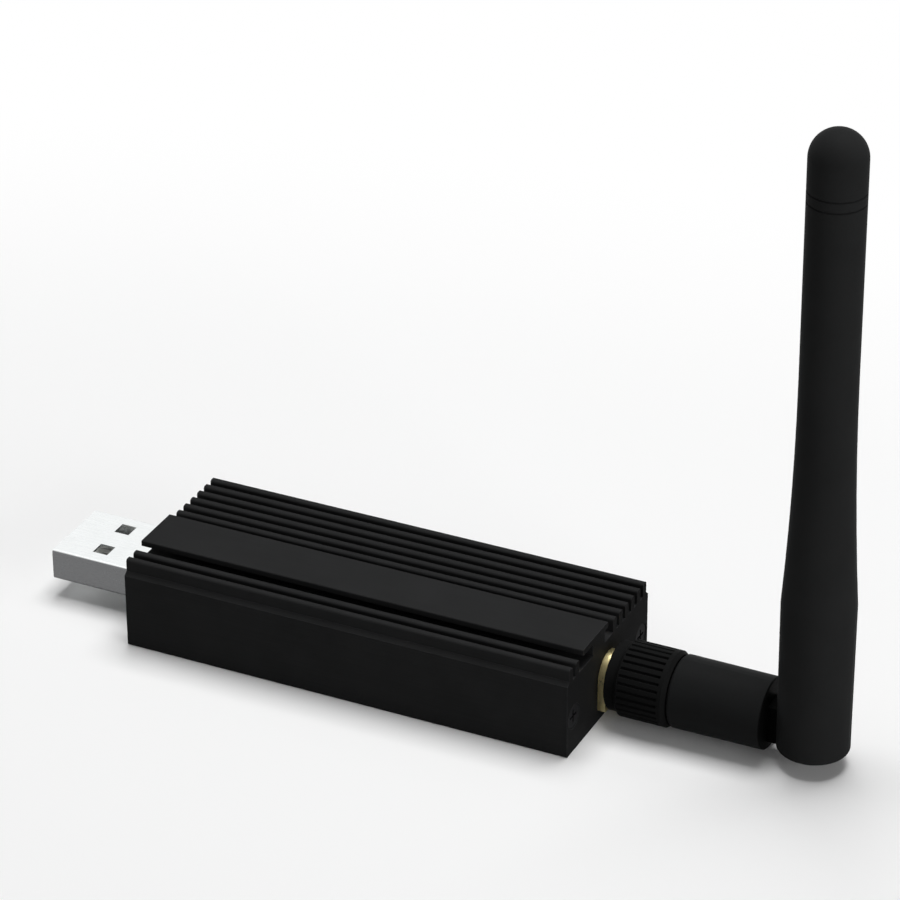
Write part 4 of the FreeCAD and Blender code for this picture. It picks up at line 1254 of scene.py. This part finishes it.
@dataclass
class CoaxConnector(SubAssembly):
    """Jack on the housing and the plug core that screws onto it.

    Attributes:
        thread: the jack's thread.
        wall: distance from the foot of the jack's ridges to the axis.
        inner: inner radius of the ring that carries the ridges, hidden inside the jack.
        start: distance from the end plate to the thread.
        end: distance from the end plate to the end of the thread.
    """

    finishes = {
        BRASS: ("jack_body", "plug_ferrule"),
        CORE_PLASTIC: ("jack_insulator", "plug_insulator"),
        PIN_GOLD: ("jack_contact", "plug_pin"),
        RUBBER: ("plug_gasket",),
        BRONZE: ("retaining_ring",),
    }
    thread: ScrewThread
    wall: float = 3.0 * MM
    inner: float = 2.9 * MM
    start: float = 1.95 * MM
    end: float = 7.25 * MM

    def build(self) -> None:
        """Dresses the nodes and adds the jack's thread."""
        super().build()
        plate_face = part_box("antenna_end_plate")[1].x
        first, last = plate_face + self.start, plate_face + self.end
        corners = [(first, self.wall), (last, self.wall), (last, self.inner), (first, self.inner)]
        ring = self.thread.cut("jack_thread", corners, axis_of("nut_sleeve"), first, last)
        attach(ring, "stick")
        LOG.info("jack_thread: ridges from %.5f to %.5f", first, last)


@dataclass
class CouplingNut(SubAssembly):
    """Grip and threaded brass insert of the coupling nut.

    Attributes:
        thread: the insert's thread, which meshes with the jack's.
        bore: radius of the bore between the grooves.
        thread_end: distance from the insert's mouth to the end of the thread.
        ring_start: distance from the mouth to the groove for the retaining ring.
        ring_end: distance from the mouth to the end of that groove.
        ring_radius: radius of that groove.
    """

    finishes = {NUT_PLASTIC: ("nut_sleeve",)}
    thread: ScrewThread
    bore: float = 3.05 * MM
    thread_end: float = 6.7 * MM
    ring_start: float = 7.4 * MM
    ring_end: float = 8.0 * MM
    ring_radius: float = 3.25 * MM

    def build(self) -> None:
        """Dresses the grip and makes the threaded insert in place of the plain one."""
        super().build()
        low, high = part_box("nut_insert")
        mouth, back = low.x, high.x
        outer = (high.z - low.z) / 2
        corners = [
            (mouth, self.bore),
            (mouth + self.ring_start, self.bore),
            (mouth + self.ring_start, self.ring_radius),
            (mouth + self.ring_end, self.ring_radius),
            (mouth + self.ring_end, self.bore),
            (back, self.bore),
            (back, outer),
            (mouth, outer),
        ]
        start = mouth - self.thread.run_out
        end = mouth + self.thread_end
        insert = self.thread.cut("threaded_insert", corners, axis_of("nut_sleeve"), start, end)
        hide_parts("nut_insert")
        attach(insert, "coupling_nut")
        LOG.info("threaded_insert: grooves from %.5f to %.5f", mouth, end)


@dataclass
class SwivelBarrel(SubAssembly):
    """Barrel between the nut and the hinge."""

    finishes = {
        BARREL_PLASTIC: ("swivel_barrel",),
        BRONZE: ("snap_ring",),
        CABLE_JACKET: ("lower_coax",),
    }


@dataclass
class Whip(SubAssembly):
    """Antenna rod with its cap and the radiator inside."""

    finishes = {
        WHIP_PLASTIC: ("whip_sleeve", "whip_cap"),
        CABLE_JACKET: ("upper_coax",),
        BRASS: ("radiator_sleeve",),
        WIRE_JACKET: ("radiator_wire",),
        CORE_PLASTIC: ("radiator_spacer",),
    }


@dataclass(frozen=True)
class Lamp:
    """Soft area lamp that points at the middle of the object.

    Attributes:
        name: name of the lamp.
        place: its middle.
        size: its width and height.
        power: its power in watts.
    """

    name: str
    place: tuple[float, float, float]
    size: tuple[float, float]
    power: float

    def build(self) -> None:
        """Puts the lamp into the scene."""
        data = bpy.data.lights.new(self.name, "AREA")
        data.shape = "RECTANGLE"
        data.size, data.size_y = self.size
        data.energy = self.power
        lamp = bpy.data.objects.new(self.name, data)
        target = (CAD_BOX[0] + CAD_BOX[1]) / 2
        lamp.location = self.place
        lamp.rotation_euler = (target - lamp.location).to_track_quat("-Z", "Y").to_euler()
        bpy.context.scene.collection.objects.link(lamp)


@dataclass
class Studio:
    """Pale floor, soft lamps and an even surrounding light.

    Attributes:
        floor_size: edge length of the floor.
        floor_drop: how far the floor lies under the object's lowest point.
        floor_color: colour of the floor, by which it throws light back at the object.
        seen_color: paler colour of the floor where it is seen.
        floor_lift: light that the floor adds for the camera near the object.
        spread: share of each axis in the distance by which the floor fades to white.
        white_from: that distance where the fading starts.
        white_at: that distance where the floor is white.
        surround: strength of the surrounding light.
        lamps: the lamps.
    """

    floor_size: float = 6.0
    floor_drop: float = 0.02 * MM
    floor_color: Color = (0.5, 0.5, 0.5)
    seen_color: Color = (0.94, 0.94, 0.94)
    floor_lift: float = 0.014
    spread: tuple[float, float, float] = (0.6, 1.0, 1.0)
    white_from: float = 0.065
    white_at: float = 0.15
    surround: float = 0.085
    lamps: tuple[Lamp, ...] = (
        Lamp("key_lamp", (0.02, 0.15, 0.80), (0.5, 0.5), 5.6),
        Lamp("right_lamp", (0.74, -0.24, 0.20), (0.40, 0.36), 2.3),
        Lamp("left_lamp", (-0.62, 0.06, 0.25), (0.3, 0.3), 0.8),
    )

    def build(self) -> None:
        """Makes the floor, the surrounding light and the lamps."""
        self.make_floor()
        self.make_world()
        for lamp in self.lamps:
            lamp.build()
            LOG.info("%s: %.1f W", lamp.name, lamp.power)

    def make_floor(self) -> None:
        """Large plane that is white away from the object and keeps its shadow."""
        shape = bmesh.new()
        bmesh.ops.create_grid(shape, x_segments=1, y_segments=1, size=self.floor_size / 2)
        mesh = bpy.data.meshes.new("floor")
        shape.to_mesh(mesh)
        shape.free()
        mesh.transform(Matrix.Translation((0, 0, -self.floor_drop)))
        mesh.materials.append(self.floor_material())
        floor = bpy.data.objects.new("floor", mesh)
        bpy.context.scene.collection.objects.link(floor)

    def floor_material(self) -> bpy.types.Material:
        """Makes the floor's material.

        Returns:
            A matt material, paler where it is seen, white far away and clear from below.
        """
        material = bpy.data.materials.new("pale_floor")
        material.use_nodes = True
        material.node_tree.nodes.clear()
        graph = SurfaceGraph(material.node_tree)
        matt = graph.node("ShaderNodeBsdfDiffuse", None, {"Color": self.floor_color})
        pale = graph.node("ShaderNodeBsdfDiffuse", None, {"Color": self.seen_color})
        spread = graph.vector_math("MULTIPLY", graph.place, self.spread)
        away = graph.vector_math("LENGTH", spread) * MM
        fade = away.rise(self.white_from, self.white_at)
        lift = graph.node("ShaderNodeEmission", None, {"Strength": self.floor_lift})
        lifted = graph.node("ShaderNodeAddShader", None, {0: graph.out(pale), 1: graph.out(lift)})
        white = graph.node("ShaderNodeEmission", None, {"Strength": 1.0})
        shown = graph.mix_shader(fade, lifted, white)
        surface = graph.mix_shader(self.seen_rays(graph), matt, shown)
        below = graph.out(graph.node("ShaderNodeNewGeometry"), "Backfacing")
        clear = graph.node("ShaderNodeBsdfTransparent")
        sided = graph.mix_shader(below, surface, clear)
        graph.node("ShaderNodeOutputMaterial", None, {"Surface": graph.out(sided)})
        return material

    def seen_rays(self, graph: Graph) -> Wire:
        """Tells the rays that show the background.

        Args:
            graph: writer of the tree that asks.

        Returns:
            1 for the camera's rays and for those mirrored or let through, and 0 for others.
        """
        path = graph.node("ShaderNodeLightPath")
        seen = graph.out(path, "Is Camera Ray").at_least(graph.out(path, "Is Glossy Ray"))
        return seen.at_least(graph.out(path, "Is Transmission Ray"))

    def make_world(self) -> None:
        """Even surrounding light, white where it is seen itself."""
        world = bpy.data.worlds.new("surround")
        bpy.context.scene.world = world
        world.use_nodes = True
        world.node_tree.nodes.clear()
        graph = Graph(world.node_tree)
        strength = self.surround + self.seen_rays(graph) * (1.0 - self.surround)
        sockets = {"Color": (1.0, 1.0, 1.0), "Strength": strength}
        light = graph.node("ShaderNodeBackground", None, sockets)
        graph.node("ShaderNodeOutputWorld", None, {"Surface": graph.out(light)})


@dataclass
class PhotoCamera:
    """Camera at the photograph's viewing angle.

    Attributes:
        azimuth: angle round the object, 0 looking along +Y, in degrees.
        elevation: angle above the floor, in degrees.
        roll: turn about the line of sight, in degrees.
        aim: point that the angles are about.
        offset: place of that point beside and above the middle of the picture.
        distance: distance from the camera to that point, along the line of sight.
        focal_pixels: focal length in pixels of a picture that is picture_pixels wide.
        picture_pixels: width of the picture.
        sensor: width of the sensor in millimetres.
        clip: smallest and largest distance that is shown.
    """

    azimuth: float = 25.927
    elevation: float = 29.352
    roll: float = -0.320
    aim: Vector = Vector((17.9, 0.0, 30.0)) * MM
    offset: tuple[float, float] = (7.505 * MM, -4.560 * MM)
    distance: float = 548.75 * MM
    focal_pixels: float = 4296.8
    picture_pixels: float = 900.0
    sensor: float = 36.0
    clip: tuple[float, float] = (0.01, 20.0)

    def build(self) -> None:
        """Makes the camera and gives it to the scene."""
        angles = (self.azimuth, self.elevation, self.roll)
        turn, rise, roll = (math.radians(angle) for angle in angles)
        flat = math.cos(rise)
        back = Vector((math.sin(turn) * flat, -math.cos(turn) * flat, math.sin(rise)))
        right = Vector((math.cos(turn), math.sin(turn), 0))
        up = back.cross(right)
        level = Matrix((right, up, back)).transposed()
        turned_axes = level @ Matrix.Rotation(-roll, 3, "Z").transposed()
        data = bpy.data.cameras.new("photo_camera")
        data.sensor_width = self.sensor
        data.lens = self.focal_pixels / self.picture_pixels * self.sensor
        data.clip_start, data.clip_end = self.clip
        camera = bpy.data.objects.new("photo_camera", data)
        local = Vector((-self.offset[0], -self.offset[1], self.distance))
        middle = Matrix.Translation(self.aim + turned_axes @ local)
        camera.matrix_world = middle @ turned_axes.to_4x4()
        bpy.context.scene.collection.objects.link(camera)
        bpy.context.scene.camera = camera


def main() -> None:
    """Builds the pieces in order, then the studio and the camera."""
    logging.basicConfig(level=logging.INFO, format="%(message)s")
    bpy.context.scene.view_settings.view_transform = "Standard"
    thread = ScrewThread()
    assemblies = [
        HousingAssembly(),
        UsbPlug(),
        CircuitBoard(),
        CoaxConnector(thread),
        CouplingNut(thread),
        SwivelBarrel(),
        Whip(),
        Studio(),
        PhotoCamera(),
    ]
    for assembly in assemblies:
        LOG.info("building %s", type(assembly).__name__)
        assembly.build()


if __name__ == "__main__":
    main()
